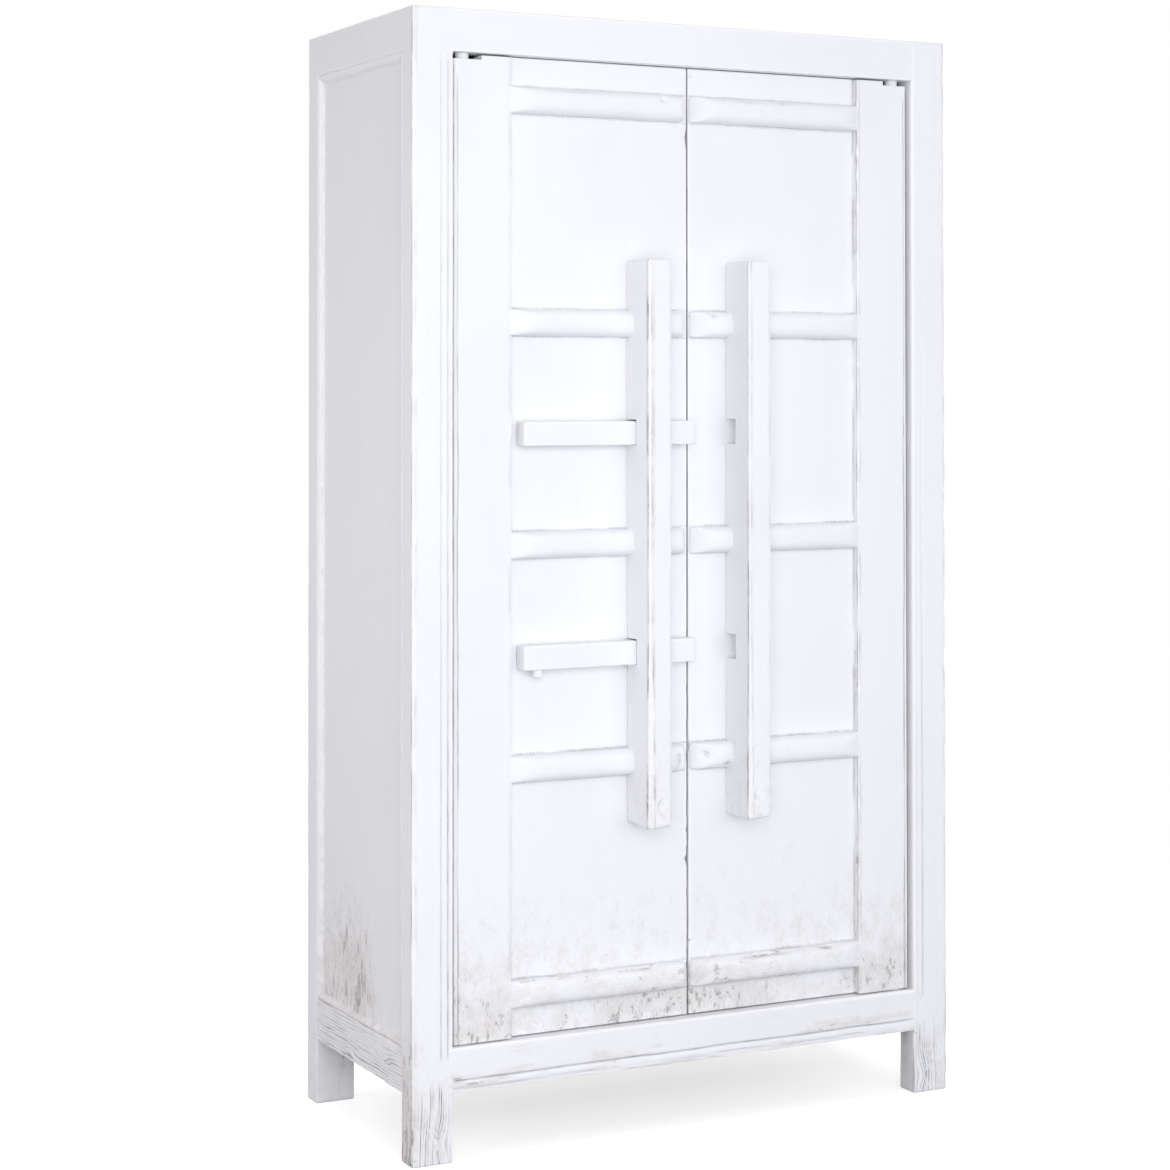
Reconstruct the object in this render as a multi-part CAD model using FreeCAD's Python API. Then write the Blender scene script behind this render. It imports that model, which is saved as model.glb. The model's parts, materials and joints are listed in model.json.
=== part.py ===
import FreeCAD, Part
import math
import os

# A two-door wardrobe on square posts, with sliding wooden bolts. All sizes are in millimetres.
# X runs along the front, Y from the front to the wall, Z up. The origin is on the floor, below
# the middle of the whole outline.

# Case outline
case_width = 1110
case_depth = 500
case_height = 2000
leg_height = 118

# Frame members
post_width = 76
post_depth = 48
top_rail_height = 76
bottom_rail_height = 78
side_rail_thickness = 32
post_corner_chamfer = 4

# Mortise and tenon joints of the frame
tenon_length = 30
tenon_thickness = 14
tenon_shoulder = 12
joint_clearance = 0.2

# Run lines of the bead along the opening and the bottom rail
bead_width = 20
bead_line_width = 3
bead_line_depth = 2.5
bead_stop = 26

# Framed side panels
side_panel_thickness = 14
side_panel_recess = 10
panel_groove = 10
side_board_count = 3

# Top and floor
top_board_thickness = 16
top_board_drop = 3
top_rebate = 12
top_board_count = 4
floor_board_thickness = 18
floor_board_count = 4
floor_bearer_width = 30
floor_bearer_height = 36

# Back
back_board_thickness = 12
back_recess = 8
back_board_count = 7
back_rail_height = 64

# Shelf and hanging rail
hat_space_height = 381
shelf_thickness = 18
shelf_board_count = 3
shelf_gap = 0.5
shelf_door_gap = 6.5
shelf_bearer_width = 20
shelf_bearer_height = 26
hanging_rail_diameter = 30
hanging_rail_drop = 85
hanging_socket_width = 60
hanging_socket_height = 70
hanging_socket_thickness = 20
hanging_socket_floor = 5

# Doors
door_side_gap = 2
door_top_gap = 3
door_bottom_gap = 3
meeting_gap = 3
stile_width = 116
stile_thickness = 38
stile_setback = 9
board_setback = 14
board_thickness = 20
board_count = 3
board_end_lift = 4
tongue_length = 8
tongue_thickness = 8

# Door pivots, turned on the ends of the stiles
pivot_inset = 27
pivot_diameter = 24
pivot_length = 30
pivot_clearance = 0.5
pivot_step_width = 57
pivot_step_depth = 8

# Half-round battens
batten_names = ["bottom", "lower", "middle", "upper", "top"]
batten_height = 50
batten_proud = 30
batten_edge = 74
batten_end_gap = 4
batten_taper_length = 42
batten_taper_lip = 1.5
batten_nose_length = 16
batten_nose_drop = 9
batten_tenon_length = 14
batten_tenon_height = 26
batten_tenon_thickness = 8

# Pull posts
pull_offset_share = 0.2865
pull_width = 47
pull_depth = 88
pull_length = 1016
pull_chamfer = 4
pull_peg_diameter = 12
pull_peg_depth = 42
peg_clearance = 0.1

# Sliding bolts, drawn back to the left
bolt_height = 43
bolt_depth = 33
bolt_stile_gap = 13.5
bolt_chamfer = 2.5
bolt_board_gap = 3
bolt_front_gap = 2
bolt_top_gap = 2.5
bolt_seat_gap = 0.4
bolt_rest_gap = 1
stop_peg_diameter = 18
stop_peg_drop = 14
stop_peg_gap = 4

# Door stops
stop_width = 200
stop_thickness = 20
stop_overlap = 8
stop_hold = 40
stop_gap = 0.5

# Overrun of every cutting tool
overrun = 5

# Places worked out from the sizes above
pull_proud = pull_depth - board_setback - stile_setback
front = pull_proud - (case_depth + pull_proud) / 2
rear = front + case_depth
left = -case_width / 2
right = case_width / 2

front_y = (front, front + post_depth)
rear_y = (rear - post_depth, rear)
inner_y = (front_y[1], rear_y[0])
left_post_x = (left, left + post_width)
opening_x = (left + post_width, right - post_width)
side_rail_x = (left, left + side_rail_thickness)
inner_x = (left + side_rail_thickness, right - side_rail_thickness)
bottom_z = (leg_height, leg_height + bottom_rail_height)
top_z = (case_height - top_rail_height, case_height)
opening_z = (bottom_z[1], top_z[0])

panel_x = (left + side_panel_recess, left + side_panel_recess + side_panel_thickness)
cavity_x = (panel_x[1], -panel_x[1])
back_y = (rear - back_recess - back_board_thickness, rear - back_recess)
back_rail_y = (rear_y[0], back_y[0])
back_rail_mid = (opening_z[0] + opening_z[1]) / 2
back_rail_z = (back_rail_mid - back_rail_height / 2, back_rail_mid + back_rail_height / 2)
top_board_z = (case_height - top_board_drop - top_board_thickness, case_height - top_board_drop)
floor_z = (bottom_z[1] - floor_board_thickness, bottom_z[1])
bearer_z = (floor_z[0] - floor_bearer_height, floor_z[0])
shelf_top = top_board_z[0] - hat_space_height
shelf_z = (shelf_top - shelf_thickness, shelf_top)

pivot_x = opening_x[0] + door_side_gap + pivot_inset
pivot_y = front + stile_setback + stile_thickness / 2
shelf_y = (pivot_y + pivot_inset + shelf_door_gap, rear_y[0] - shelf_gap)
stile_y = (front + stile_setback, front + stile_setback + stile_thickness)
stile_x = (opening_x[0] + door_side_gap, opening_x[0] + door_side_gap + stile_width)
door_z = (opening_z[0] + door_bottom_gap, opening_z[1] - door_top_gap)
board_face = stile_y[0] + board_setback
board_y = (board_face, board_face + board_thickness)
board_x = (stile_x[1], -meeting_gap / 2)
board_z = (door_z[0] + board_end_lift, door_z[1])
step_z = door_z[1] - pivot_step_depth

batten_run = (door_z[1] - door_z[0] - 2 * batten_edge) / (len(batten_names) - 1)
batten_mids = [door_z[0] + batten_edge + batten_run * i for i in range(len(batten_names))]
pull_mid = (door_z[0] + door_z[1]) / 2
pull_offset = pull_offset_share * (board_x[1] - board_x[0])
pull_x = (-pull_offset - pull_width / 2, -pull_offset + pull_width / 2)
pull_y = (board_face - pull_depth, board_face)
pull_z = (pull_mid - pull_length / 2, pull_mid + pull_length / 2)
peg_mids = [pull_mid - batten_run * 3 / 4, pull_mid + batten_run * 3 / 4]

bolt_mids = [pull_mid - batten_run / 2, pull_mid + batten_run / 2]
bolt_x = (board_x[0] + bolt_stile_gap, board_x[1] - bolt_rest_gap)
bolt_travel = (bolt_x[1] - bolt_x[0]) / 2 - bolt_x[1]
bolt_y = (board_face - bolt_board_gap - bolt_depth, board_face - bolt_board_gap)


def box(x, y, z):
    """A block between the low and high ends of each range."""
    low = FreeCAD.Vector(x[0], y[0], z[0])
    return Part.makeBox(x[1] - x[0], y[1] - y[0], z[1] - z[0], low)


def grown(span, margin):
    """A range made longer by the margin at both ends."""
    return (span[0] - margin, span[1] + margin)


def centred(span, size):
    """A range of the given size about the middle of another."""
    middle = (span[0] + span[1]) / 2
    return (middle - size / 2, middle + size / 2)


def shared(span, count):
    """The ranges of equal boards laid edge to edge."""
    step = (span[1] - span[0]) / count
    return [(span[0] + step * i, span[0] + step * (i + 1)) for i in range(count)]


def flipped(shape):
    """The right-hand piece that mirrors a left-hand one."""
    return shape.mirror(FreeCAD.Vector(0, 0, 0), FreeCAD.Vector(1, 0, 0))


def prism(points, run):
    """A straight-sided block from a flat outline and the way it runs."""
    corners = [FreeCAD.Vector(*point) for point in points]
    outline = Part.makePolygon(corners + corners[:1])
    return Part.Face(outline).extrude(FreeCAD.Vector(*run))


def rod(diameter, start, run):
    """A round rod from its start along its run."""
    along = FreeCAD.Vector(*run)
    return Part.makeCylinder(diameter / 2, along.Length, FreeCAD.Vector(*start), along)


def tenon_span(z):
    """The height of a rail's tenon between its shoulders."""
    return (z[0] + tenon_shoulder, z[1] - tenon_shoulder)


# Frame joints and the grooves that several members share

def cross_tenons(y, z):
    """The tenons on both ends of a rail that runs along the front or the back."""
    x = grown(opening_x, tenon_length)
    return box(x, centred(y, tenon_thickness), tenon_span(z))


def cross_mortises(y, z):
    """The mortises for a front or back rail."""
    x = grown(opening_x, tenon_length + joint_clearance)
    return box(x, grown(centred(y, tenon_thickness), joint_clearance),
               grown(tenon_span(z), joint_clearance))


def side_tenons(z):
    """The tenons on both ends of a side rail."""
    y = grown(inner_y, tenon_length)
    return box(centred(side_rail_x, tenon_thickness), y, tenon_span(z))


def side_mortises(z):
    """The mortises for a side rail."""
    y = grown(inner_y, tenon_length + joint_clearance)
    return box(grown(centred(side_rail_x, tenon_thickness), joint_clearance), y,
               grown(tenon_span(z), joint_clearance))


def side_groove():
    """The groove in posts and rails that holds the left side panel."""
    depth = panel_groove + joint_clearance
    return box(grown(panel_x, joint_clearance), grown(inner_y, depth), grown(opening_z, depth))


def back_groove():
    """The groove in rear posts and rails that holds the back boards."""
    depth = panel_groove + joint_clearance
    return box(grown(opening_x, depth), grown(back_y, joint_clearance), grown(opening_z, depth))


def top_rebate_cut():
    """The rebate round the top that the top boards lie in."""
    margin = top_rebate + joint_clearance
    return box(grown(inner_x, margin), grown(inner_y, margin),
               (top_board_z[0], case_height + overrun))


# Posts and rails

def front_left_post():
    """A front post with its outer corner taken off and a run line beside the opening."""
    c = post_corner_chamfer
    x, y = left_post_x, front_y
    outline = [(x[0] + c, y[0], 0), (x[1], y[0], 0), (x[1], y[1], 0), (x[0], y[1], 0),
               (x[0], y[0] + c, 0)]
    post = prism(outline, (0, 0, case_height))
    line_x = (x[1] - bead_width - bead_line_width, x[1] - bead_width)
    line_z = (opening_z[0] - bead_stop, opening_z[1] - bead_stop)
    line = box(line_x, (y[0] - overrun, y[0] + bead_line_depth), line_z)
    return post.cut([cross_mortises(front_y, bottom_z), cross_mortises(front_y, top_z),
                     side_mortises(bottom_z), side_mortises(top_z),
                     side_groove(), top_rebate_cut(), line])


def rear_left_post():
    """A rear post, grooved for the side panel and the back boards."""
    post = box(left_post_x, rear_y, (0, case_height))
    return post.cut([cross_mortises(rear_y, bottom_z), cross_mortises(rear_y, top_z),
                     cross_mortises(back_rail_y, back_rail_z),
                     side_mortises(bottom_z), side_mortises(top_z),
                     side_groove(), back_groove(), top_rebate_cut()])


def pivot_sockets(mouth, way):
    """The two bores that the door pivots turn in, from the rail's edge into the wood."""
    diameter = pivot_diameter + 2 * pivot_clearance
    reach = way * pivot_length
    return [rod(diameter, (x, pivot_y, mouth), (0, 0, reach)) for x in (pivot_x, -pivot_x)]


def top_front_rail():
    """The head of the opening, bored for the upper pivots."""
    rail = box(opening_x, front_y, top_z).fuse(cross_tenons(front_y, top_z))
    return rail.cut(pivot_sockets(top_z[0], 1) + [top_rebate_cut()])


def bottom_front_rail():
    """The sill under the doors, bored for the lower pivots, with a run line along its edge."""
    rail = box(opening_x, front_y, bottom_z).fuse(cross_tenons(front_y, bottom_z))
    line_z = (bottom_z[0] + bead_width, bottom_z[0] + bead_width + bead_line_width)
    line = box(grown(opening_x, -bead_line_width), (front - overrun, front + bead_line_depth), line_z)
    return rail.cut(pivot_sockets(bottom_z[1], -1) + [line])


def rear_rail(z):
    """The top or bottom rail of the back."""
    rail = box(opening_x, rear_y, z).fuse(cross_tenons(rear_y, z))
    return rail.cut([back_groove(), top_rebate_cut()])


def left_side_rail(z):
    """The top or bottom rail of the left side."""
    rail = box(side_rail_x, inner_y, z).fuse(side_tenons(z))
    return rail.cut([side_groove(), top_rebate_cut()])


def back_middle_rail():
    """The inner cross rail that stiffens the back boards."""
    return box(opening_x, back_rail_y, back_rail_z).fuse(cross_tenons(back_rail_y, back_rail_z))


# Panels and boards

def left_side_panel():
    """Upright boards edge to edge in the groove of the left side."""
    z = grown(opening_z, panel_groove)
    boards = shared(grown(inner_y, panel_groove), side_board_count)
    return Part.makeCompound([box(panel_x, y, z) for y in boards])


def left_panel_beads():
    """Four mitred strips of triangular section in the corner between frame and panel."""
    s = side_panel_recess
    x = (left, left + s)
    y, z = inner_y, opening_z
    low = [(x[0], y[0], z[0]), (x[1], y[0], z[0]), (x[1], y[0], z[0] + s)]
    front_strip = prism([(x[0], y[0], z[0]), (x[1], y[0], z[0]), (x[1], y[0] + s, z[0])],
                        (0, 0, z[1] - z[0]))
    rear_strip = prism([(x[0], y[1], z[0]), (x[1], y[1], z[0]), (x[1], y[1] - s, z[0])],
                       (0, 0, z[1] - z[0]))
    bottom_strip = prism(low, (0, y[1] - y[0], 0))
    high = [(x[0], y[0], z[1]), (x[1], y[0], z[1]), (x[1], y[0], z[1] - s)]
    top_strip = prism(high, (0, y[1] - y[0], 0))
    uprights = [front_strip.cut([bottom_strip, top_strip]), rear_strip.cut([bottom_strip, top_strip])]
    return Part.makeCompound(uprights + [bottom_strip, top_strip])


def top_boards():
    """Boards along the front, lying in the rebate of the top."""
    x = grown(inner_x, top_rebate)
    boards = shared(grown(inner_y, top_rebate), top_board_count)
    return Part.makeCompound([box(x, y, top_board_z) for y in boards])


def floor_boards():
    """Boards along the front, level with the top of the bottom rails."""
    return Part.makeCompound([box(inner_x, y, floor_z) for y in shared(inner_y, floor_board_count)])


def floor_bearer(x_low):
    """A bearer under the floor boards, from the front rail to the back rail."""
    return box((x_low, x_low + floor_bearer_width), inner_y, bearer_z)


def back_boards():
    """Upright boards edge to edge in the groove of the back."""
    z = grown(opening_z, panel_groove)
    boards = shared(grown(opening_x, panel_groove), back_board_count)
    return Part.makeCompound([box(x, back_y, z) for x in boards])


# Inside

def shelf():
    """Hat shelf of boards along the front, set back clear of the turning stiles."""
    x = grown(cavity_x, -shelf_gap)
    return Part.makeCompound([box(x, y, shelf_z) for y in shared(shelf_y, shelf_board_count)])


def left_shelf_bearer():
    """Strip on the side panel that carries the shelf, between front and rear post."""
    x = (cavity_x[0], cavity_x[0] + shelf_bearer_width)
    return box(x, inner_y, (shelf_z[0] - shelf_bearer_height, shelf_z[0]))


def hanging_rail_z():
    """The height of the hanging rail's middle."""
    return shelf_z[0] - hanging_rail_drop


def hanging_rail():
    """Round rail for clothes hangers, resting in its two sockets."""
    x = grown(cavity_x, -hanging_socket_floor - joint_clearance)
    start = (x[0], (inner_y[0] + inner_y[1]) / 2, hanging_rail_z())
    return rod(hanging_rail_diameter, start, (x[1] - x[0], 0, 0))


def left_hanging_socket():
    """Block on the side panel, bored part way for the end of the rail."""
    x = (cavity_x[0], cavity_x[0] + hanging_socket_thickness)
    z_mid = hanging_rail_z()
    block = box(x, centred(inner_y, hanging_socket_width),
                (z_mid - hanging_socket_height / 2, z_mid + hanging_socket_height / 2))
    start = (x[0] + hanging_socket_floor, (inner_y[0] + inner_y[1]) / 2, z_mid)
    return block.cut(rod(hanging_rail_diameter + 2 * joint_clearance, start,
                         (hanging_socket_thickness, 0, 0)))


def upper_door_stop():
    """Cleat behind the head rail, with a lip that the door boards close against."""
    x = centred(opening_x, stop_width)
    lip_top = top_z[0] - joint_clearance
    cleat = box(x, (front_y[1], front_y[1] + stop_thickness),
                (door_z[1] - stop_overlap, top_z[0] + stop_hold))
    lip = box(x, (board_y[1] + stop_gap, front_y[1]), (door_z[1] - stop_overlap, lip_top))
    return cleat.fuse(lip).removeSplitter()


def lower_door_stop():
    """Cleat on the sill and the floor boards that the doors close against."""
    x = centred(opening_x, stop_width)
    y = (board_y[1] + stop_gap, front_y[1] + stop_thickness)
    return box(x, y, (bottom_z[1], board_z[0] + stop_overlap))


# Doors. Each function makes the piece of the left door.

def batten_tenon(z_mid, margin):
    """The tenon of a batten in the stile, or its mortise with a margin."""
    x = (stile_x[1] - batten_tenon_length - margin, stile_x[1])
    y = centred((stile_y[0], board_face), batten_tenon_thickness)
    z = (z_mid - batten_tenon_height / 2, z_mid + batten_tenon_height / 2)
    return box(x, grown(y, margin), grown(z, margin))


def door_stile():
    """The outer stile, rounded about its pivot, with a turned pivot at each end."""
    half = stile_thickness / 2
    inset = math.sqrt(pivot_inset ** 2 - half ** 2)
    near = FreeCAD.Vector(pivot_x - inset, stile_y[0], door_z[0])
    middle = FreeCAD.Vector(pivot_x - pivot_inset, pivot_y, door_z[0])
    far = FreeCAD.Vector(pivot_x - inset, stile_y[1], door_z[0])
    inner_far = FreeCAD.Vector(stile_x[1], stile_y[1], door_z[0])
    inner_near = FreeCAD.Vector(stile_x[1], stile_y[0], door_z[0])
    edges = [Part.Arc(near, middle, far).toShape(),
             Part.LineSegment(far, inner_far).toShape(),
             Part.LineSegment(inner_far, inner_near).toShape(),
             Part.LineSegment(inner_near, near).toShape()]
    height = door_z[1] - door_z[0]
    body = Part.Face(Part.Wire(edges)).extrude(FreeCAD.Vector(0, 0, height))
    step = box((stile_x[0] - overrun, stile_x[0] + pivot_step_width), grown(stile_y, overrun),
               (step_z, door_z[1] + overrun))
    groove = box((stile_x[1] - tongue_length - joint_clearance, stile_x[1] + overrun),
                 grown(centred(board_y, tongue_thickness), joint_clearance),
                 grown(door_z, overrun))
    body = body.cut([step, groove] + [batten_tenon(z, joint_clearance) for z in batten_mids])
    upper = rod(pivot_diameter, (pivot_x, pivot_y, step_z),
                (0, 0, opening_z[1] + pivot_length - joint_clearance - step_z))
    lower = rod(pivot_diameter, (pivot_x, pivot_y, opening_z[0] - pivot_length),
                (0, 0, door_z[0] - opening_z[0] + pivot_length))
    return body.fuse([upper, lower])


def door_boards():
    """Three boards edge to edge, the outer one tongued into the stile."""
    boards = [box(x, board_y, board_z) for x in shared(board_x, board_count)]
    tongue = box((board_x[0] - tongue_length, board_x[0]), centred(board_y, tongue_thickness),
                 board_z)
    boards[0] = boards[0].fuse(tongue)
    holes = [rod(pull_peg_diameter + 2 * peg_clearance, (-pull_offset, board_y[0] - overrun, z),
                 (0, board_thickness + 2 * overrun, 0)) for z in peg_mids]
    return Part.makeCompound([board.cut(holes) for board in boards])


def half_round(x, z_mid, margin):
    """A rod of half-round section on the face of the boards, with a margin for its notch."""
    reach = batten_height / 2 + margin
    low = FreeCAD.Vector(x[0], board_face, z_mid - reach)
    apex = FreeCAD.Vector(x[0], board_face - batten_proud - margin, z_mid)
    high = FreeCAD.Vector(x[0], board_face, z_mid + reach)
    section = Part.Wire([Part.Arc(low, apex, high).toShape(), Part.LineSegment(high, low).toShape()])
    return Part.Face(section).extrude(FreeCAD.Vector(x[1] - x[0], 0, 0))


def door_batten(z_mid):
    """A half-round batten, run down to the stile at one end and eased at the other."""
    x = (stile_x[1], board_x[1] - batten_end_gap)
    crest = board_face - batten_proud
    clear = crest - overrun
    z_low = z_mid - batten_height
    run = (0, 0, 2 * batten_height)
    taper = prism([(x[0], stile_y[0] - batten_taper_lip, z_low), (x[0], clear, z_low),
                   (x[0] + batten_taper_length, clear, z_low),
                   (x[0] + batten_taper_length, crest, z_low)], run)
    nose = prism([(x[1], crest + batten_nose_drop, z_low), (x[1] - batten_nose_length, crest, z_low),
                  (x[1] - batten_nose_length, clear, z_low), (x[1], clear, z_low)], run)
    rounded = half_round(x, z_mid, 0).cut([taper, nose])
    return rounded.fuse(batten_tenon(z_mid, 0))


def bolt_notch(z_mid):
    """The notch in the back of a pull post that a bolt slides through."""
    y = (bolt_y[0] - bolt_front_gap, board_face + overrun)
    z = (z_mid - bolt_height / 2 - bolt_seat_gap, z_mid + bolt_height / 2 + bolt_top_gap)
    return box(grown(pull_x, overrun), y, z)


def pull_post():
    """A tall pull, notched over three battens and for both bolts."""
    post = box(pull_x, pull_y, pull_z)
    face_edges = [edge for edge in post.Edges if edge.BoundBox.YMax < pull_y[0] + pull_chamfer]
    post = post.makeChamfer(pull_chamfer, face_edges)
    over = grown(pull_x, overrun)
    crossed = [z for z in batten_mids if pull_z[0] < z < pull_z[1]]
    cuts = [half_round(over, z, joint_clearance) for z in crossed]
    cuts += [bolt_notch(z) for z in bolt_mids]
    cuts += [rod(pull_peg_diameter + 2 * peg_clearance, (-pull_offset, board_face + overrun, z),
                 (0, -overrun - pull_peg_depth - peg_clearance, 0)) for z in peg_mids]
    return post.cut(cuts)


def pull_pegs():
    """Two pegs from the back of the boards into the pull post."""
    reach = -board_thickness - pull_peg_depth
    return Part.makeCompound([rod(pull_peg_diameter, (-pull_offset, board_y[1], z), (0, reach, 0))
                              for z in peg_mids])


# Bolts

def bolt_bar(z_mid):
    """A square bar with its end corners eased."""
    bar = box(bolt_x, bolt_y, (z_mid - bolt_height / 2, z_mid + bolt_height / 2))
    ends = [edge for edge in bar.Edges if edge.BoundBox.XLength < bolt_chamfer]
    return bar.makeChamfer(bolt_chamfer, ends)


def stop_peg_x():
    """The middle of the stop peg, just short of the pull post when the bolt is home."""
    return pull_x[0] - stop_peg_gap - stop_peg_diameter / 2 - bolt_travel


def stop_peg_rod(diameter, z_low, z_high):
    """A rod on the stop peg's axis."""
    return rod(diameter, (stop_peg_x(), (bolt_y[0] + bolt_y[1]) / 2, z_low), (0, 0, z_high - z_low))


def lower_bolt(z_mid):
    """The lower bolt, bored for its stop peg."""
    half = bolt_height / 2
    bore = stop_peg_rod(stop_peg_diameter + 2 * peg_clearance, z_mid - half - overrun,
                        z_mid + half + overrun)
    return bolt_bar(z_mid).cut(bore)


def lower_bolt_peg(z_mid):
    """The stop peg, driven through the lower bolt and left proud below."""
    half = bolt_height / 2
    return stop_peg_rod(stop_peg_diameter, z_mid - half - stop_peg_drop, z_mid + half)


def case_parts():
    """Every piece of the case."""
    parts = {
        "front_left_post": front_left_post(),
        "rear_left_post": rear_left_post(),
        "top_front_rail": top_front_rail(),
        "bottom_front_rail": bottom_front_rail(),
        "top_rear_rail": rear_rail(top_z),
        "bottom_rear_rail": rear_rail(bottom_z),
        "top_left_rail": left_side_rail(top_z),
        "bottom_left_rail": left_side_rail(bottom_z),
        "back_middle_rail": back_middle_rail(),
        "left_side_panel": left_side_panel(),
        "left_panel_beads": left_panel_beads(),
        "top_boards": top_boards(),
        "floor_boards": floor_boards(),
        "left_floor_bearer": floor_bearer(inner_x[0]),
        "middle_floor_bearer": floor_bearer(-floor_bearer_width / 2),
        "back_boards": back_boards(),
        "shelf": shelf(),
        "left_shelf_bearer": left_shelf_bearer(),
        "hanging_rail": hanging_rail(),
        "left_hanging_socket": left_hanging_socket(),
        "upper_door_stop": upper_door_stop(),
        "lower_door_stop": lower_door_stop(),
    }
    for name in [name for name in parts if "left" in name]:
        parts[name.replace("left", "right")] = flipped(parts[name])
    return parts


def door_parts():
    """Every piece of the two doors."""
    parts = {
        "left_door_stile": door_stile(),
        "left_door_boards": door_boards(),
        "left_pull_post": pull_post(),
        "left_pull_pegs": pull_pegs(),
    }
    for name, z_mid in zip(batten_names, batten_mids):
        parts["left_door_%s_batten" % name] = door_batten(z_mid)
    for name in list(parts):
        parts[name.replace("left", "right")] = flipped(parts[name])
    return parts


def bolt_parts():
    """The two sliding bolts and the stop peg of the lower one."""
    return {
        "upper_bolt": bolt_bar(bolt_mids[1]),
        "lower_bolt": lower_bolt(bolt_mids[0]),
        "lower_bolt_peg": lower_bolt_peg(bolt_mids[0]),
    }


os.makedirs("parts", exist_ok=True)
all_parts = case_parts()
all_parts.update(door_parts())
all_parts.update(bolt_parts())
for name, shape in all_parts.items():
    shape.exportStep("parts/%s.step" % name)
print("pivot", pivot_x, pivot_y, "bolt travel", bolt_travel)
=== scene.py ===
import json
import math
import bpy
import numpy as np
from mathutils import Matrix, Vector


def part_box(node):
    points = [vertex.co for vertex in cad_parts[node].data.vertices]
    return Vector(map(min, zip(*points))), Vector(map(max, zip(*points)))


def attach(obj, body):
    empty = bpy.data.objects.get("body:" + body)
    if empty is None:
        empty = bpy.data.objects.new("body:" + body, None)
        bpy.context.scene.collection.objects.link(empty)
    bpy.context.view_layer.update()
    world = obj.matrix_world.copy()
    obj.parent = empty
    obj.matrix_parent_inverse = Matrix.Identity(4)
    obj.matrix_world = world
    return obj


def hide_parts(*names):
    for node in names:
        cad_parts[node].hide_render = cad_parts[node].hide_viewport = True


# The looks of a worn, white-painted wardrobe. Pieces are shaped in millimetres in the frame's own
# axes: X along the front, Y towards the wall, Z up. Left-hand pieces are mirrored for the right.

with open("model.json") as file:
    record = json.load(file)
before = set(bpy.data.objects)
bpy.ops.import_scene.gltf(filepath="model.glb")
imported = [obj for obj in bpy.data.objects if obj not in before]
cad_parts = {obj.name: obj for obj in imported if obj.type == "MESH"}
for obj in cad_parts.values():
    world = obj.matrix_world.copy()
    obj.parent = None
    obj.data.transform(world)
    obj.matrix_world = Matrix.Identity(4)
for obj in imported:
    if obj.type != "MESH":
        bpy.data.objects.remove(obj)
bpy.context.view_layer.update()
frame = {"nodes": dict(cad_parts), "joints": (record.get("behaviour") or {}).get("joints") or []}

MM = 0.001
TINY = 1e-6

# Camera, fitted to the photograph
CAMERA_PLACE = (-2.3049, -4.2885, 1.3349)
CAMERA_TURN_DEG = 27.10
CAMERA_PITCH_DEG = 1.04
CAMERA_ROLL_DEG = 0.03
CAMERA_LENS_MM = 78.98
CAMERA_SENSOR_MM = 36.0
CAMERA_SHIFT_Y = -0.207
CAMERA_REACH = 200

# Light: the place, target, size, power and colour of each lamp
AMBIENT_COLOUR = (1.0, 0.965, 0.995)
AMBIENT_STRENGTH = 0.63
LAMPS = {
    "key": ((1.6, -7.0, 1.8), (0.0, 0.0, 1.1), 3.5, 91.0, (0.82, 0.92, 1.0)),
    "fill": ((-1.7, -3.8, 1.5), (-0.3, 0.0, 1.5), 2.4, 69.5, (1.0, 0.99, 0.985)),
    "side": ((-2.2, -0.15, 1.2), (-0.55, 0.03, 1.2), 0.9, 5.0, (1.0, 0.975, 0.98)),
    "right": ((2.6, -0.1, 1.3), (0.55, 0.03, 1.1), 1.2, 8.0, (1.0, 0.975, 0.98)),
    "back": ((0.4, 3.6, 1.7), (0.0, 0.25, 1.1), 2.0, 30.0, (1.0, 0.985, 0.98)),
}
FLOOR_SIZE = 60.0
FLOOR_DROP = 0.0004
FLOOR_COLOUR = (0.92, 0.92, 0.92)
FLOOR_BOUNCE = (0.44, 0.44, 0.45)
FLOOR_GLOW = 0.50
FLOOR_NEAR, FLOOR_FAR = 1.1, 3.0
BACKDROP_GLOW = 1.0

# Colours, linear
WHITE = (1.0, 1.0, 1.0)
PAINT = (0.885, 0.900, 0.925)
PAINT_DULL = (0.845, 0.850, 0.865)
# Chalky paint that also serves as a painted highlight
CHALK_AND_PAINTED_HIGHLIGHT = (0.940, 0.945, 0.955)
PRIMER = (0.545, 0.522, 0.500)
# Dark lines that are partly grime and partly painted shade
GRIME_AND_PAINTED_SHADE = (0.190, 0.182, 0.182)
DUST = (0.640, 0.605, 0.580)
STAIN = (0.735, 0.710, 0.695)
FLAKE = (0.345, 0.328, 0.322)
WOOD = (0.640, 0.580, 0.500)
WOOD_DARK = (0.470, 0.400, 0.325)
WASH = (0.800, 0.785, 0.760)


# Noise

PRIMES = (73856093, 19349663, 83492791, 2654435761)
MIXER = 1540483477
LOW_BITS = 0xFFFFFF


def hashed(cell, seed):
    """A fixed random value from 0 to 1 for each whole-numbered cell."""
    word = np.full(cell.shape[:-1], seed * PRIMES[3] % 2 ** 32, np.uint32)
    for i in range(3):
        word = word ^ (cell[..., i].astype(np.int64) * PRIMES[i] % 2 ** 32).astype(np.uint32)
    word = (word ^ (word >> np.uint32(13))) * np.uint32(MIXER)
    word = word ^ (word >> np.uint32(15))
    word = word * np.uint32(MIXER)
    word = word ^ (word >> np.uint32(13))
    return (word & np.uint32(LOW_BITS)) / LOW_BITS


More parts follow.
